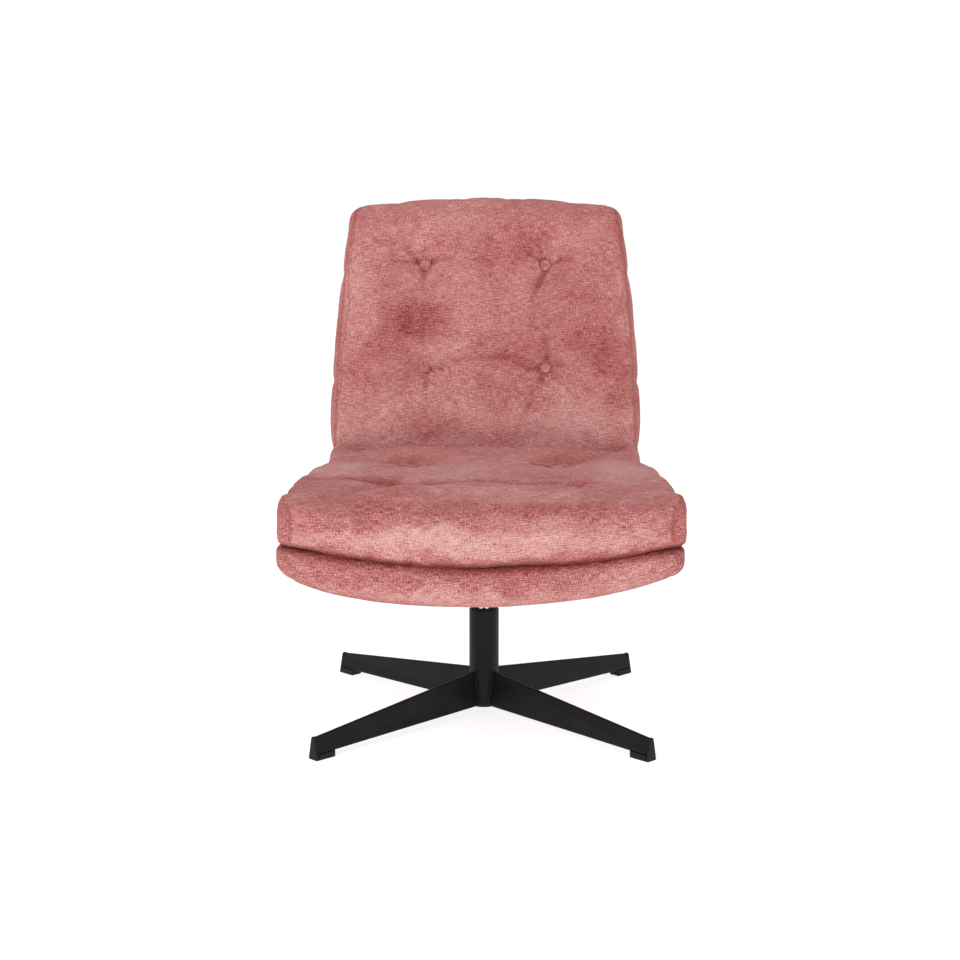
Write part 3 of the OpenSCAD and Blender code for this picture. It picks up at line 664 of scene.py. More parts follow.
def fit(obj, pad):
    """Brings a swollen cushion to the width, length and height that its cover was cut to."""
    p = pad.unplace(coords(obj))
    x, s, n = p[:, 0], p[:, 1], p[:, 2]
    places = np.linspace(2, pad.length - 2, 46)
    wanted = pad.half(places) - pad.drawn_in(places)
    actual = np.array([np.abs(x[np.abs(s - q) < 9]).max() for q in places])
    window = np.hanning(15)[1:-1]
    ratio = np.convolve(np.pad(wanted / actual, 6, "edge"), window / window.sum(), "valid")
    u = np.abs(x) / pad.half(s)
    p[:, 0] *= 1 + (np.interp(s, places, ratio) - 1) * smooth(0.55, 0.97, u)
    p[:, 0] += np.sign(x) * pad.side(s, n) * smooth(0.6, 0.97, u)
    places = np.linspace(-0.9, 0.9, 25) * pad.half_far
    near = np.array([s[np.abs(x - q) < 12].min() for q in places])
    far = np.array([s[np.abs(x - q) < 12].max() for q in places])
    wide = places / pad.half_far
    to_near = pad.shift(0, wide) - near
    to_far = pad.length + pad.shift(pad.length, wide) + pad.far_crown * (1 - wide ** 2) - far
    p[:, 1] += np.interp(x, places, to_near) * (1 - smooth(4, 60, s))
    p[:, 1] += np.interp(x, places, to_far) * smooth(pad.length - 60, pad.length - 4, s)
    over = n - pad.top(s, x)
    level = (s > 60) & (s < pad.level_to) & (n > 0.6 * pad.thick)
    shares = np.linspace(0, 0.94, 16)
    peaks = np.array([np.percentile(over[level & (np.abs(u - q) < 0.05)], 85) for q in shares])
    peak = np.interp(u, shares, peaks)
    wanted = pad.proud * (1 - np.minimum(u, 1) ** 4)
    share = np.clip((over + TUFT) / (peak + TUFT), 0, 1)
    p[:, 2] -= (peak - wanted) * share * smooth(0.45, 0.8, n / pad.thick)
    p[:, 2] += (pad.edge_lift * smooth(0.75, 0.95, u) * smooth(0.5, 0.8, n / pad.thick)
                * smooth(10, 120, s) * (1 - smooth(300, 460, s)))
    # the sewn top edges run true: their heights follow a smooth curve
    places = np.linspace(26, pad.level_to + 40, 40)
    edge = (u > 0.8) & (p[:, 2] > 0.6 * pad.thick)
    for side in (-1, 1):
        band = edge & (x * side > 0)
        tops = np.array([p[band & (np.abs(s - q) < 8), 2].max() for q in places])
        true = np.polyval(np.polyfit(places, tops, 4), places)
        mask = smooth(0.68, 0.88, u) * smooth(0.4, 0.75, n / pad.thick) * (x * side > 0)
        p[:, 2] += np.interp(s, places, true - tops) * mask
    set_coords(obj, pad.place(p))


def cushion_base(name, pad, inset):
    """A cushion swollen to its size by cloth simulation, with its tufts held down."""
    obj = tube_through(name, pad.place(pad.rings(inset)))
    remesh(obj)
    relax(obj, 4)
    p = pad.unplace(coords(obj))
    s, x, n = p[:, 1], p[:, 0], p[:, 2]
    upper = smooth(0.55, 0.8, n / pad.thick)
    p[:, 2] -= upper * tuft_depth(pad, s, x, pad.pull, pad.reach, 0.5)
    set_coords(obj, pad.place(p))
    under = p[:, 2] < pad.low(s, x) + 3.5
    held = [np.hypot(s - r, x - c) < 8 for r, c in pad.tufts()]
    pinned = under | (np.any(held, axis=0) & (n > pad.thick / 2))
    start = coords(obj)
    swell(obj, pinned, pad.pressure, pad.slack, pad.cap)
    set_coords(obj, start + (coords(obj) - start) * pad.free(s, n)[:, None])
    fit(obj, pad)
    relax(obj, 1, pinned)
    p = pad.unplace(coords(obj))
    relax(obj, 4, pinned | (np.abs(p[:, 0]) < 0.9 * pad.half(p[:, 1])))
    return subdivide(obj)


# Brushed areas of the nap, and painted shade and painted light: across, along, half width, half
# height, darker above 0
# On the seat, (0, -64) is painted light, a pale band low on its front face as from the floor; the
# patches at the buttons near (±124, 166) and (±124, 396) and along the front row's creases, (-205,
# 176) and (0, 176), are painted shade in its tufts and creases
SEAT_PATCHES = [
    (-70, 8, 230, 30, 0.7), (160, 2, 130, 30, 0.7), (0, -64, 330, 24, -1.35),
    (-60, -58, 90, 22, -0.4), (90, -36, 70, 24, -0.5), (-200, -30, 60, 24, 0.35),
    (60, 60, 90, 30, -0.45), (0, 270, 330, 230, -0.45), (-124, 166, 60, 34, 1.05),
    (120, 166, 56, 30, 1.1), (-205, 176, 80, 24, 1.1), (-236, 262, 60, 110, -0.8),
    (232, 240, 60, 120, -0.7), (0, 176, 90, 20, 0.5), (-124, 396, 56, 50, 0.8),
    (124, 396, 60, 46, 0.8), (0, 330, 90, 70, -0.5), (-30, 100, 120, 26, -0.5),
]
# On the back, (0, 30) is painted light over the shade at its foot
BACK_PATCHES = [
    (-112, 234, 62, 30, 1.0), (-165, 206, 40, 40, 0.5), (-108, 50, 66, 34, 0.6),
    (-100, 18, 60, 28, 0.45), (0, 30, 330, 90, -0.75), (20, 356, 50, 30, 0.35),
    (88, 372, 40, 30, 0.5), (232, 150, 36, 80, 0.7), (190, 190, 60, 40, 0.35),
    (-80, 166, 60, 30, -0.7), (-225, 290, 50, 90, -0.5), (0, 250, 90, 60, -0.2),
    (-80, 300, 40, 40, -0.35), (140, 50, 70, 50, -0.3), (30, 100, 70, 26, 0.3),
    (-150, 400, 70, 30, -0.35), (170, 380, 50, 40, -0.35), (-30, 400, 90, 26, -0.2),
]
# On the shell, (-10, -14) is painted shade under the seat cushion's front and (0, -56) is painted
# light along its lower band, as from the floor
SHELL_PATCHES = [
    (-10, -14, 170, 22, 0.5), (-190, -16, 70, 26, 0.4), (0, -56, 240, 20, -0.8),
    (210, -34, 90, 30, -0.3), (-80, -44, 60, 24, -0.4), (-230, -44, 60, 24, -0.3),
]


def seat_cushion():
    def inset(s):
        return lerp(SWELL_START, 1.5, smooth(SEAT.length - 170, SEAT.length - 110, s))

    obj = cushion_base("seat_cushion", SEAT, inset)
    p = SEAT.unplace(coords(obj))
    s, x, n = p[:, 1], p[:, 0], p[:, 2]
    upper = smooth(0.6, 0.85, n / SEAT_T) * smooth(-10, 40, s)
    depth = folds_depth(p[:, [0, 1]], SEAT_FOLDS, SEAT_CREASES) * upper
    co, no = coords(obj), normals(obj)
    u = np.minimum(1, np.abs(x) / SEAT.half(s))
    lumps = 1.7 * fractal(co, 95, 3, 2) + 0.7 * fractal(co * [1, 1, 1.6], 38, 4, 2)
    lumps *= 1 - 0.85 * smooth(0.72, 0.93, u)
    low = smooth(26, 4, n) * smooth(150, 20, s)
    wave = 2.6 * np.sin(x / 62 + 0.6) * np.exp(-((x + 60) / 150) ** 2) + 1.2 * np.sin(x / 34)
    droop = 6.5 * smooth(34, 6, n - SEAT.low(s, x)) * smooth(60, 8, s)
    rear = 13.0 * np.exp(-((s - 490) / 40) ** 2) * (1 - u ** 5) * smooth(0.6, 0.85, n / SEAT_T)
    free = 1 - smooth(SEAT.length - 120, SEAT.length - 80, s) * smooth(0.3, 0.6, n / SEAT_T)
    resting = (n > SEAT.low(s, x) + 6) | (s < 40)
    co = co + no * ((lumps * resting - depth) * free)[:, None]
    co[:, 2] += wave * low - droop + rear
    set_coords(obj, np.clip(co, seat_low - PROUD, seat_high + PROUD))
    return obj


def back_cushion():
    def inset(s):
        return lerp(2.5, SWELL_START, smooth(0, 34, s))

    obj = cushion_base("back_cushion", BACK, inset)
    p = BACK.unplace(coords(obj))
    s, x, n = p[:, 1], p[:, 0], p[:, 2]
    upper = smooth(0.6, 0.85, n / BACK_T)
    depth = folds_depth(p[:, [0, 1]], BACK_FOLDS, BACK_CREASES) * upper
    co, no = coords(obj), normals(obj)
    lumps = 1.8 * fractal(co, 100, 13, 2) + 0.7 * fractal(co, 36, 14, 2)
    lumps *= 1 - 0.8 * smooth(0.78, 0.95, np.abs(x) / BACK.half(s))
    lumps *= 1 - 0.8 * smooth(BACK.length - 50, BACK.length - 12, s)
    free = smooth(4, 30, s) * smooth(BACK.low(s, x) + 2, BACK.low(s, x) + 12, n)
    co = co + no * ((lumps - depth) * free)[:, None]
    co[:, 1:] -= (5.0 * smooth(40, 6, s))[:, None] * BACK_UP        # rests on the seat cushion
    set_coords(obj, np.clip(co, back_low - PROUD, back_high + PROUD))
    return obj


SIDES = ((-1, "left"), (1, "right"))


def run_along(pad, side, s, inset, face, lift):
    """A seam's run along a face of a cushion, inset mm from its side and lift mm above."""
    half = pad.half(s)
    return np.stack([side * (half - inset), s, face(s, half) + lift], -1)


def run_at_end(side, steps, x, s, n):
    """A seam's run up or down an end of a cushion, from the first x, s and n to the last."""
    f = np.linspace(0, 1, steps)[1:-1]
    return np.stack([side * lerp(*x, f), lerp(*s, f), lerp(*n, f)], -1)


def seat_seam(side):
    """Over the top edge, back along the foot and up the front."""
    s = np.linspace(20, SEAT.length - 24, 40)
    w = 0.955 * SEAT.half(0)
    return [run_along(SEAT, side, s, 6, SEAT.top, -11),
            run_along(SEAT, side, s[::-1], 3, SEAT.low, 9),
            run_at_end(side, 12, (w, w + 2), (-2, 1), (SEAT.low(0, w) + 12, SEAT.top(0, w) - 16))]


def back_seam(side):
    """Round the whole gusset, over the top end and under the foot."""
    last = BACK.length
    s = np.linspace(12, last - 22, 44)
    top_w, foot_w = BACK.half(last) - 14, BACK.half(0) - 12
    return [run_along(BACK, side, s, 11, BACK.top, -3),
            run_at_end(side, 10, (top_w, top_w), (last - 6, last - 6), (BACK.thick - 16, 22)),
            run_along(BACK, side, s[::-1], 3, BACK.low, 8),
            run_at_end(side, 10, (foot_w, foot_w), (3, 3), (22, BACK.thick - 20))]


def gusset_seams(obj, pad, seam, name):
    return [sew(obj, f"{name}_seam_{word}", pad.place(np.concatenate(seam(side))))
            for side, word in SIDES]


# -------- the shell

SHELL_EDGE = 25.0                           # depth of its widest line below its inner face
SHELL_FRONT_W, SHELL_BEND_W, SHELL_TOP_W = 604.0, 560.0, 456.0
LIP_T, BOWL_T, BACK_ROOT_T, TOP_T = 63.0, 87.0, 40.0, 33.0


def shell_half(s):
    v = np.clip((s - SEAT_RUN) / (PATH_LEN - SEAT_RUN), 0, 1)
    back = SHELL_BEND_W - (SHELL_BEND_W - SHELL_TOP_W) * v ** 1.8
    return (back if s > SEAT_RUN else lerp(SHELL_FRONT_W, SHELL_BEND_W, s / SEAT_RUN)) / 2


def shell_thick(s):
    back = lerp(BACK_ROOT_T, TOP_T, np.clip((s - SEAT_RUN - BEND_RUN) / BACK_RUN, 0, 1))
    if s < SEAT_RUN:
        return lerp(LIP_T, BOWL_T, smooth(0, 230, s))
    return lerp(BOWL_T, back, smooth(SEAT_RUN - 20, SEAT_RUN + BEND_RUN + 60, s))


def shell_inner(s, u, w):
    return camber(s, u * w) - SHELL_EDGE * edge_drop(u, 7)


def shell_outer(s, u, w):
    flat = 0.42 * smooth(60, 260, s) * (1 - smooth(SEAT_RUN - 40, SEAT_RUN + 60, s))
    v = np.maximum(0, (np.abs(u) - flat) / (1 - flat))
    power = lerp(3.3, 2.8, smooth(100, 300, s))
    below = (shell_thick(s) - SHELL_EDGE) * (1 - edge_drop(v, power))
    return camber(s, v * w) - SHELL_EDGE - below


def shell_shift(s, u):
    bulge = -24 * (1 - smooth(0, 220, s))
    crown = 12 * smooth(PATH_LEN - 150, PATH_LEN, s)
    return bulge * (1 - u * u) - crown * u * u


def shell_ring(s, u):
    rear = s > PATH_LEN / 2
    d = min(s, PATH_LEN - s)
    end = max(0.02, float(round_end(d, 18 if rear else 30, 2.2)))
    w0, t = shell_half(s), shell_thick(s)
    w = w0 * (1 - 0.07 * (1 - round_end(d, 36)))
    mid = camber(s, u * w) - t / 2
    faces = []
    for face in (shell_inner, shell_outer):
        n = mid + (face(s, u, w0) - mid) * end
        faces.append(on_path(s, u * w, n, shell_shift(s, u)))
    return faces


def shell_cover(columns=110):
    """The upholstered shell, directly as a fine grid, with soft lumps where it is stuffed."""
    u = np.cos(np.linspace(0, math.pi, columns + 1))
    ends = np.array([0, 0.5, 1.3, 2.6, 4.4, 6.8, 9.8, 13.5, 18, 23, 29])
    s = np.concatenate([ends, np.linspace(36, PATH_LEN - 36, 175), PATH_LEN - ends[::-1]])
    rings = []
    for si in s:
        inner, outer = shell_ring(si, u)
        # walked from the right edge over the inner face to the left edge, and back outside
        rings.append(np.concatenate([inner, outer[-2:0:-1]]))
    obj = tube_through("shell_cover", rings)
    co, no = coords(obj), normals(obj)
    lumps = 1.1 * fractal(co, 90, 23, 2) + 0.5 * fractal(co, 30, 24, 2)
    # the underside stays true over the swivel plate, and the inner face under the cushions
    over_plate = np.all(np.abs(co[:, :2]) < 125, axis=1) & (co[:, 2] < SEAT_BASE_Z - 40)
    co += no * (lumps * ~over_plate)[:, None]
    x, front = co[:, 0], smooth(-150, -300, co[:, 1])
    under = smooth(SEAT_BASE_Z - 10, SEAT_BASE_Z - 40, co[:, 2])
    co[:, 2] += 4.5 * x / 250 * front * under
    co[:, 0] -= 5.0 * smooth(-180, -290, x) * front
    set_coords(obj, co)
    return obj


def shell_seams(obj):
    """A seam along each edge of the shell, inside and outside, where its gusset is sewn in."""
    found = []
    for side, word in SIDES:
        for face, share, level in ((shell_inner, 0.965, "inner"), (shell_outer, 0.93, "outer")):
            line = []
            for s in np.linspace(3, PATH_LEN - 3, 90):
                w = shell_half(s)
                u = side * share
                end = round_end(min(s, PATH_LEN - s), 26)
                mid = camber(s, u * w) - shell_thick(s) / 2
                n = mid + (face(s, u, w) - mid) * end
                line.append(on_path(s, u * w * (1 - 0.05 * (1 - end)), n, shell_shift(s, u)))
            found.append(sew(obj, f"shell_seam_{level}_{word}", np.array(line), 1.6, 0.2, 0.6,
                             closed=False))
    return found


# -------- buttons, welds

def covered_button(name, part, axis, seed):
    """A button covered in the cloth: a dome with its cloth gathered to the rim."""
    axis = np.array(axis, float)
    side = np.cross(axis, [0, 1, 0]) if abs(axis[1]) < 0.9 else np.cross(axis, [1, 0, 0])
    side /= np.linalg.norm(side)
    other = np.cross(axis, side)
    centre = part.mean(0)
    along = (part - centre) @ axis
    radius = np.linalg.norm((part - centre) - along[:, None] * axis, axis=1).max() + 0.4
    base, top = along.min() - 1.0, along.max() + 0.6
    profile = [(0.0, 0.2), (0.55, 0.0), (0.86, 0.05), (0.97, 0.16), (1.0, 0.34), (0.975, 0.54),
               (0.9, 0.72), (0.74, 0.87), (0.5, 0.96), (0.25, 0.995), (0.0, 1.0)]
    count, verts = 48, []
    for r, h in profile:
        for k in range(count if r else 1):
            a = 2 * math.pi * k / count
            fold = 0.012 * math.sin(9 * a + seed) + 0.008 * math.sin(17 * a + 2 * seed)
            rr = r * radius * (1 + fold * smooth(0.4, 1.0, r) * 1.2)
            dent = 0.25 * math.sin(3 * a + seed) * r * (1 - r)
            verts.append((centre + (rr * math.cos(a)) * side + (rr * math.sin(a)) * other
                          + (lerp(base, top, h) + dent) * axis) * MM)
    faces = wall_faces(len(profile) - 2, count, first=1)
    last = len(verts) - 1
    for k in range(count):
        m = (k + 1) % count
        faces += [(0, 1 + m, 1 + k), (last - count + k, last - count + m, last)]
    return subdivide(mesh_object(name, verts, faces))


def weld_bead(name, part, seed):
    """A hand-run weld: overlapping ripples along the joint."""
    centre = part.mean(0)
    _, _, axes = np.linalg.svd(part - centre, full_matrices=False)
    way = axes[0] * np.sign(axes[0][np.abs(axes[0]).argmax()])
    along = (part - centre) @ way
    out = centre.copy()
    out[2] = 0
    out /= np.linalg.norm(out)
    side = np.cross(way, out)
    side /= np.linalg.norm(side)
    out = np.cross(side, way)
    ripple, step, ring = 3.4, 0.55, 14      # mm between ripples and rings; corners of a ring
    low, high = along.min(), along.max()
    count = int((high - low) / step)
    verts = []
    for i in range(count + 1):
        t = low + (high - low) * i / count
        phase = (t / ripple) % 1
        r = 2.1 + 0.42 * (1 - phase) ** 1.5 + 0.12 * math.sin(t * 0.9 + seed)
        r *= math.sqrt(max(0.03, 1 - abs(2 * i / count - 1) ** 14))
        for k in range(ring):
            a = 2 * math.pi * k / ring
            lean = 0.9 * math.cos(a) * (1 - phase)
            p = centre + way * (t + lean) + r * (math.cos(a) * out + math.sin(a) * side)
            verts.append(p * MM)
    return capped_tube(name, verts, ring)


# -------- materials

class Graph:
    """A material made of nodes, built a node at a time around one Principled shader."""

    def __init__(self, name, **shader):
        self.material = bpy.data.materials.new(name)
        self.material.use_nodes = True
        self.tree = self.material.node_tree
        self.shader = self.tree.nodes["Principled BSDF"]
        for key, value in shader.items():
            self.shader.inputs[key.replace("_", " ")].default_value = value

    def add(self, kind, settings=None, **inputs):
        node = self.tree.nodes.new("ShaderNode" + kind)
        for key, value in (settings or {}).items():
            setattr(node, key, value)
        for key, value in inputs.items():
            socket = node.inputs[int(key[1:]) if key[0] == "i" and key[1:].isdigit()
                                 else key.replace("_", " ")]
            if isinstance(value, bpy.types.NodeSocket):
                self.tree.links.new(value, socket)
            else:
                socket.default_value = value
        return node

    def kept(self, attribute, output="Fac"):
        return self.add("Attribute", {"attribute_name": attribute}).outputs[output]

    def position(self):
        return self.add("TexCoord").outputs["Object"]

    def noise(self, where, scale, detail=2.0, rough=0.5, stretch=(1, 1, 1), distort=0.0):
        if stretch != (1, 1, 1):
            where = self.add("Mapping", Vector=where, Scale=stretch).outputs[0]
        return self.add("TexNoise", Vector=where, Scale=scale, Detail=detail, Roughness=rough,
                        Distortion=distort).outputs["Fac"]

    def math(self, operation, a, b=0.0):
        return self.add("Math", {"operation": operation}, i0=a, i1=b).outputs[0]

    def weighted(self, base, *terms):
        """base plus each (value, weight, middle), as the weight times value less middle."""
        total = base
        for fac, weight, middle in terms:
            part = self.math("MULTIPLY", self.math("SUBTRACT", fac, middle), weight)
            total = self.math("ADD", total, part)
        return total

    def ramp(self, fac, *stops):
        node = self.add("ValToRGB", Fac=fac)
        ramp = node.color_ramp
        while len(ramp.elements) < len(stops):
            ramp.elements.new(0.5)
        for element, (at, colour) in zip(ramp.elements, stops):
            element.position, element.color = at, (*colour, 1)
        return node.outputs["Color"]

    def finish(self, colour=None, roughness=None, height=None, strength=0.3, distance=0.001):
        if colour is not None:
            self.tree.links.new(colour, self.shader.inputs["Base Color"])
        if roughness is not None:
            self.tree.links.new(roughness, self.shader.inputs["Roughness"])
        if height is not None:
            bump = self.add("Bump", Strength=strength, Distance=distance, Height=height)
            self.tree.links.new(bump.outputs[0], self.shader.inputs["Normal"])
        return self.material


def chenille():
    """Dusty pink chenille: short pile over a ribbed weave, its nap brushed both ways."""
    g = Graph("pink_chenille", Specular_IOR_Level=0.12, Sheen_Weight=0.07, Sheen_Roughness=0.45,
              Sheen_Tint=(1.0, 0.84, 0.82, 1), Roughness=0.92)
    where = g.kept("cloth", "Vector")
    nap_and_painted_light = g.kept("nap_and_painted_light")
    weft = g.noise(where, 1.0, 1.5, 0.6, stretch=(70, 690, 300))
    warp = g.noise(where, 1.0, 1.5, 0.6, stretch=(760, 100, 300))
    pile = g.noise(where, 600, 2.0, 0.65)
    tufts = g.noise(where, 150, 3.0, 0.6, distort=0.4)
    brushed = g.noise(where, 1.0, 3.0, 0.55, stretch=(26, 44, 40), distort=0.6)
    bloom = g.kept("bloom")
    weave = g.math("MULTIPLY", bloom, g.weighted(0.0, (weft, 1.1, 0.5), (warp, 0.8, 0.5),
                                                 (pile, 1.6, 0.5)))
    # the nap attribute carries the nap's own tone and also the painted shade and painted light
    tone = g.weighted(0.562, (nap_and_painted_light, -0.19, 0.0), (weave, 1.0, 0.0), (tufts, 0.35, 0.5),
                      (brushed, 0.32, 0.5))
    colour = g.ramp(tone, (0.0, (0.17, 0.025, 0.025)), (0.3, (0.36, 0.088, 0.080)),
                    (0.52, (0.445, 0.148, 0.140)), (0.74, (0.55, 0.24, 0.226)),
                    (1.0, (0.68, 0.41, 0.38)))
    height = g.weighted(0.0, (weft, 0.9, 0.5), (warp, 0.6, 0.5), (pile, 0.8, 0.5),
                        (tufts, 0.7, 0.5))
    return g.finish(colour, height=height, strength=0.55, distance=0.0012)


def powder_coat(name, tone, peel=1.0, roughness=0.46):
    """Painted or moulded black: a fine orange peel, faint dust and handling marks."""
    g = Graph(name, Specular_IOR_Level=0.15)
    where = g.position()
    fine = g.noise(where, 1300, 2.0, 0.5)
    broad = g.noise(where, 14, 4.0, 0.55)
    rubbed = g.noise(where, 1.0, 4.0, 0.6, stretch=(30, 30, 160))
    colour = g.ramp(g.weighted(0.5, (broad, 0.9, 0.5), (rubbed, 0.4, 0.5)),
                    (0.2, tuple(0.78 * c for c in tone)), (0.5, tone),
                    (0.85, tuple(1.6 * c + 0.002 for c in tone)))
    rough = g.weighted(roughness, (broad, 0.22, 0.5), (fine, 0.2, 0.5))
    return g.finish(colour, rough, g.weighted(0.0, (fine, peel, 0.5), (broad, 0.2, 0.5)),
                    0.22, 0.0005)


def metal(name, tone, roughness, stretch=(60, 60, 900), blotch=0.1):
    """Bare or plated metal with fine turning marks."""
    g = Graph(name, Metallic=1.0)
    where = g.position()
    turned = g.noise(where, 1.0, 3.0, 0.6, stretch=stretch)
    spots = g.noise(where, 70, 3.0, 0.6)
    colour = g.ramp(g.weighted(0.5, (turned, 0.5, 0.5), (spots, 2 * blotch, 0.5)),
                    (0.1, tuple(0.62 * c for c in tone)), (0.55, tone),
                    (1.0, tuple(min(1, 1.15 * c) for c in tone)))
    return g.finish(colour, g.weighted(roughness, (turned, 0.25, 0.5), (spots, blotch, 0.5)),
                    turned, 0.12, 0.0003)


def plain_material(name, dark, light, roughness, scale, stretch=(1, 1, 1), strength=0.3):
    """For the pieces inside: a noise between two tones, with bump."""
    g = Graph(name)
    where = g.position()
    coarse = g.noise(where, scale, 4.0, 0.6, stretch=stretch)
    fine = g.noise(where, scale * 7, 3.0, 0.6, stretch=stretch)
    colour = g.ramp(g.weighted(0.5, (coarse, 1.2, 0.5), (fine, 0.5, 0.5)),
                    (0.1, dark), (0.9, light))
    rough = g.weighted(roughness, (fine, 0.2, 0.5))
    return g.finish(colour, rough, g.weighted(0.0, (fine, 1.0, 0.5)), strength, 0.0006)


def all_materials():
    return {
        "pink_chenille": chenille(),
        "black_powder_coat": powder_coat("black_powder_coat", (0.0075, 0.007, 0.007)),
        "black_plastic": powder_coat("black_plastic", (0.010, 0.0095, 0.0095), 0.6, 0.55),
        "plain_steel": metal("plain_steel", (0.56, 0.57, 0.58), 0.34),
        "bearing_steel": metal("bearing_steel", (0.74, 0.75, 0.76), 0.12, (200, 200, 200), 0.05),
        "zinc_steel": metal("zinc_steel", (0.72, 0.73, 0.74), 0.26, (300, 300, 80), 0.14),
        "nylon": plain_material("nylon", (0.70, 0.69, 0.63), (0.82, 0.81, 0.76), 0.42, 60),
        "plywood": plain_material("plywood", (0.46, 0.30, 0.16), (0.74, 0.56, 0.36), 0.6, 1.0,
                                  (40, 6, 300)),
        "foam": plain_material("foam", (0.72, 0.64, 0.44), (0.88, 0.82, 0.64), 0.95, 300,
                               strength=0.7),
        "cord": plain_material("cord", (0.60, 0.57, 0.50), (0.84, 0.81, 0.76), 0.8, 900,
                               (1, 1, 0.3), strength=0.6),
    }


def paint(obj, material):
    obj.data.materials.clear()
    obj.data.materials.append(material)


# -------- the object

def dress(obj, pad, patches, seed, folds, creases):
    """Lays the cloth on a cushion, whose gussets are its sides past their seams, and paints shade
    into the nap where the cloth is folded in, along its seams, in its tufts and at its foot where
    it rests."""
    p = pad.unplace(coords(obj))
    s, x, n = p[:, 1], p[:, 0], p[:, 2]
    seam = np.abs(x) - pad.half(s) + pad.seam_inset(s, n)
    over_foot = n - pad.low(s, x)
    upper = smooth(0.6, 0.85, n / pad.thick)
    # painted shade: in the folds and creases, along the seams' grooves, at the foot where the
    # cushion rests, and in the tufts' funnels
    painted_shade = 0.33 * np.clip(folds_depth(p[:, [0, 1]], folds, creases), 0, 3) * upper
    painted_shade += 0.8 * np.exp(-(seam / 3.0) ** 2) * (over_foot > 8)
    painted_shade += 2.6 * smooth(9, -3, over_foot)
    painted_shade += 0.034 * np.clip(tuft_depth(pad, s, x, TUFT, 34.0, 0.8), 0, TUFT) * upper
    cloth_coords(obj, pad.weave_run(s, x, n), x, (seam > 0) & (over_foot > 4), patches, seed,
                 pad.pile(s), painted_shade)


def dress_shell(shell):
    """Lays the cloth on the shell: down its lip and under, and over its top edge."""
    co = coords(shell)
    x, y, z = co.T
    height = z - SEAT_BASE_Z - camber(0, x)
    behind = np.clip(y - PATH_Y - shell_shift(0.0, np.clip(x / shell_half(0), -1, 1)), 0, None)
    under_seat = y < PATH_Y + SEAT_RUN
    run = height + behind * under_seat * np.sign(height + 35)
    run = np.where(z > z.max() - 18, height - y, run)
    bloom = 1 + 0.45 * smooth(90, 40, behind * under_seat) * under_seat
    # the last argument is painted shade along the top of the shell, where the seat cushion rests on
    # it
    cloth_coords(shell, run, x, np.abs(normals(shell)[:, 0]) > 0.9, SHELL_PATCHES, 23,
                 bloom, 2.4 * smooth(-15, -3, height) * under_seat)


def build():
    made = all_materials()
    cloth = made["pink_chenille"]
    slots = {p["node"]: p["material_slot"] for p in frame["record"]["subparts"]}

    seat = seat_cushion()
    back = back_cushion()
    shell = shell_cover()
    seams = [gusset_seams(seat, SEAT, seat_seam, "seat"),
             gusset_seams(back, BACK, back_seam, "back"), shell_seams(shell)]
    dress(seat, SEAT, SEAT_PATCHES, 3, SEAT_FOLDS, SEAT_CREASES)
    dress(back, BACK, BACK_PATCHES, 13, BACK_FOLDS, BACK_CREASES)
    dress_shell(shell)

    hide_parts("seat_cushion_cover", "seat_cushion_core")
    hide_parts("back_cushion_cover", "back_cushion_core")
    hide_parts("shell_cover", "shell_foam")
    for obj, edging in zip((seat, back, shell), seams):
        for piece in edging:
            set_cloth(piece, coords(piece), 0.3, 1.0)
        for piece in (obj, *edging):
            paint(piece, cloth)
            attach(piece, "seat")

    for node, axis, word in (("seat_buttons", (0, 0, 1), "seat"),
                             ("back_buttons", (0, *BACK_OUT), "back")):
        for k, part in enumerate(parts_of(node)):
            button = covered_button(f"{word}_button_{k + 1}", part, axis, k + 1.0)
            set_cloth(button, coords(button) + 37 * k, 0.1, 1.0)
            paint(button, cloth)
            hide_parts(node)
            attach(button, "seat")
    for k, part in enumerate(parts_of("leg_welds")):
        bead = weld_bead(f"leg_weld_{k + 1}", part, 1.7 * k)
        paint(bead, made["black_powder_coat"])
        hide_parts("leg_welds")
        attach(bead, "base")

    for name, node in NODES.items():
        if node.hide_render:
            continue
        paint(node, made[slots[name]])
        if name.startswith(("leg_", "foot_", "seat_plate", "spindle_socket")):
            edge = node.modifiers.new("edge", "BEVEL")
            edge.width, edge.segments = 0.7 * MM, 2
            edge.limit_method, edge.angle_limit = "ANGLE", math.radians(28)


# -------- camera, floor, light

CAMERA_BACK, CAMERA_UP = 2.791, 0.828       # metres from the swivel axis and from the floor
CAMERA_DOWN, CAMERA_ROUND = math.radians(8.72), math.radians(0.6)
# Soft lamps: name, place and size in metres, power in watts
LAMPS = (("key", (-1.5, -3.0, 2.4), 1.8, 50), ("fill", (2.4, -2.2, 1.4), 2.4, 11),
         ("top", (0.2, 0.9, 3.0), 2.2, 8))
LAMPS_AIM = (0, 0, 0.45)


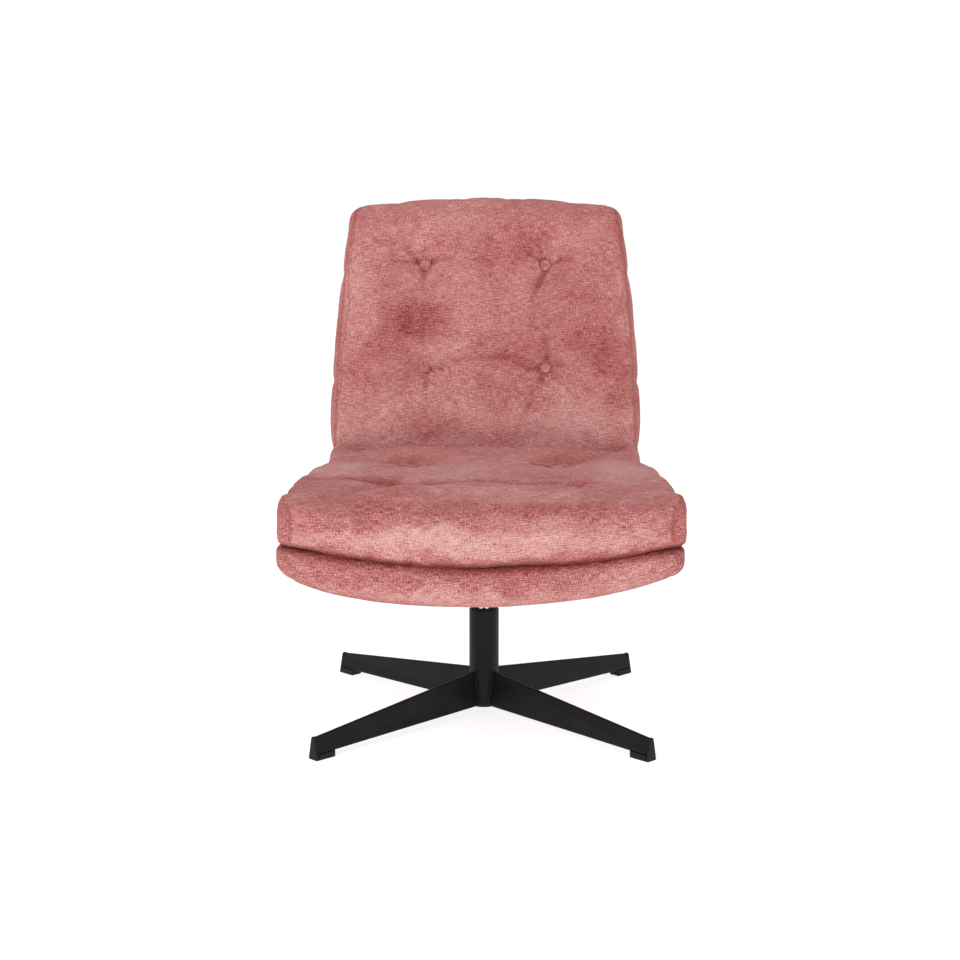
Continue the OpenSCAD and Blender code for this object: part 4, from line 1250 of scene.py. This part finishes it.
def studio():
    data = bpy.data.cameras.new("camera")
    data.lens, data.sensor_width = 63.45, 36
    data.shift_x = -0.0042
    data.clip_start = 0.05
    camera = bpy.data.objects.new("camera", data)
    camera.location = (CAMERA_BACK * math.sin(CAMERA_ROUND), -CAMERA_BACK * math.cos(CAMERA_ROUND),
                       CAMERA_UP)
    camera.rotation_euler = (math.pi / 2 - CAMERA_DOWN, 0, CAMERA_ROUND)
    scene.collection.objects.link(camera)
    scene.camera = camera

    world = bpy.data.worlds.new("studio")
    world.use_nodes = True
    # white round the horizon, dimmer overhead, as in a room with white walls
    tree = world.node_tree
    where = tree.nodes.new("ShaderNodeTexCoord")
    split = tree.nodes.new("ShaderNodeSeparateXYZ")
    ramp = tree.nodes.new("ShaderNodeValToRGB")
    tree.links.new(where.outputs["Generated"], split.inputs[0])
    tree.links.new(split.outputs["Z"], ramp.inputs["Fac"])
    tree.links.new(ramp.outputs["Color"], tree.nodes["Background"].inputs["Color"])
    ramp.color_ramp.elements[0].position, ramp.color_ramp.elements[0].color = 0.24, (1, 1, 1, 1)
    ramp.color_ramp.elements[1].position = 0.45
    ramp.color_ramp.elements[1].color = (0.5, 0.5, 0.5, 1)
    scene.world = world

    rings, sides, radius = 24, 64, 14.0
    verts = [(0, 0, 0)]
    for i in range(1, rings + 1):
        r = radius * (i / rings) ** 2
        verts += [(r * math.cos(2 * math.pi * k / sides), r * math.sin(2 * math.pi * k / sides), 0)
                  for k in range(sides)]
    faces = [(0, 1 + k, 1 + (k + 1) % sides) for k in range(sides)]
    for i in range(rings - 1):
        a, b = 1 + i * sides, 1 + (i + 1) * sides
        faces += [(a + k, b + k, b + (k + 1) % sides, a + (k + 1) % sides) for k in range(sides)]
    floor = mesh_object("floor", verts, faces)
    g = Graph("floor", Roughness=0.9, Specular_IOR_Level=0.1, Emission_Strength=0.74,
              Emission_Color=(1, 1, 1, 1))
    grain = g.noise(g.position(), 90, 3.0)
    paint(floor, g.finish(g.ramp(grain, (0.3, (0.58, 0.58, 0.58)), (0.7, (0.62, 0.62, 0.62)))))

    for name, place, size, power in LAMPS:
        lamp = bpy.data.lights.new(name, "AREA")
        lamp.shape, lamp.size, lamp.energy = "DISK", size, power
        light = bpy.data.objects.new(name, lamp)
        light.location = place
        toward = Vector(LAMPS_AIM) - Vector(place)
        light.rotation_euler = toward.to_track_quat("-Z", "Y").to_euler()
        scene.collection.objects.link(light)


build()
studio()
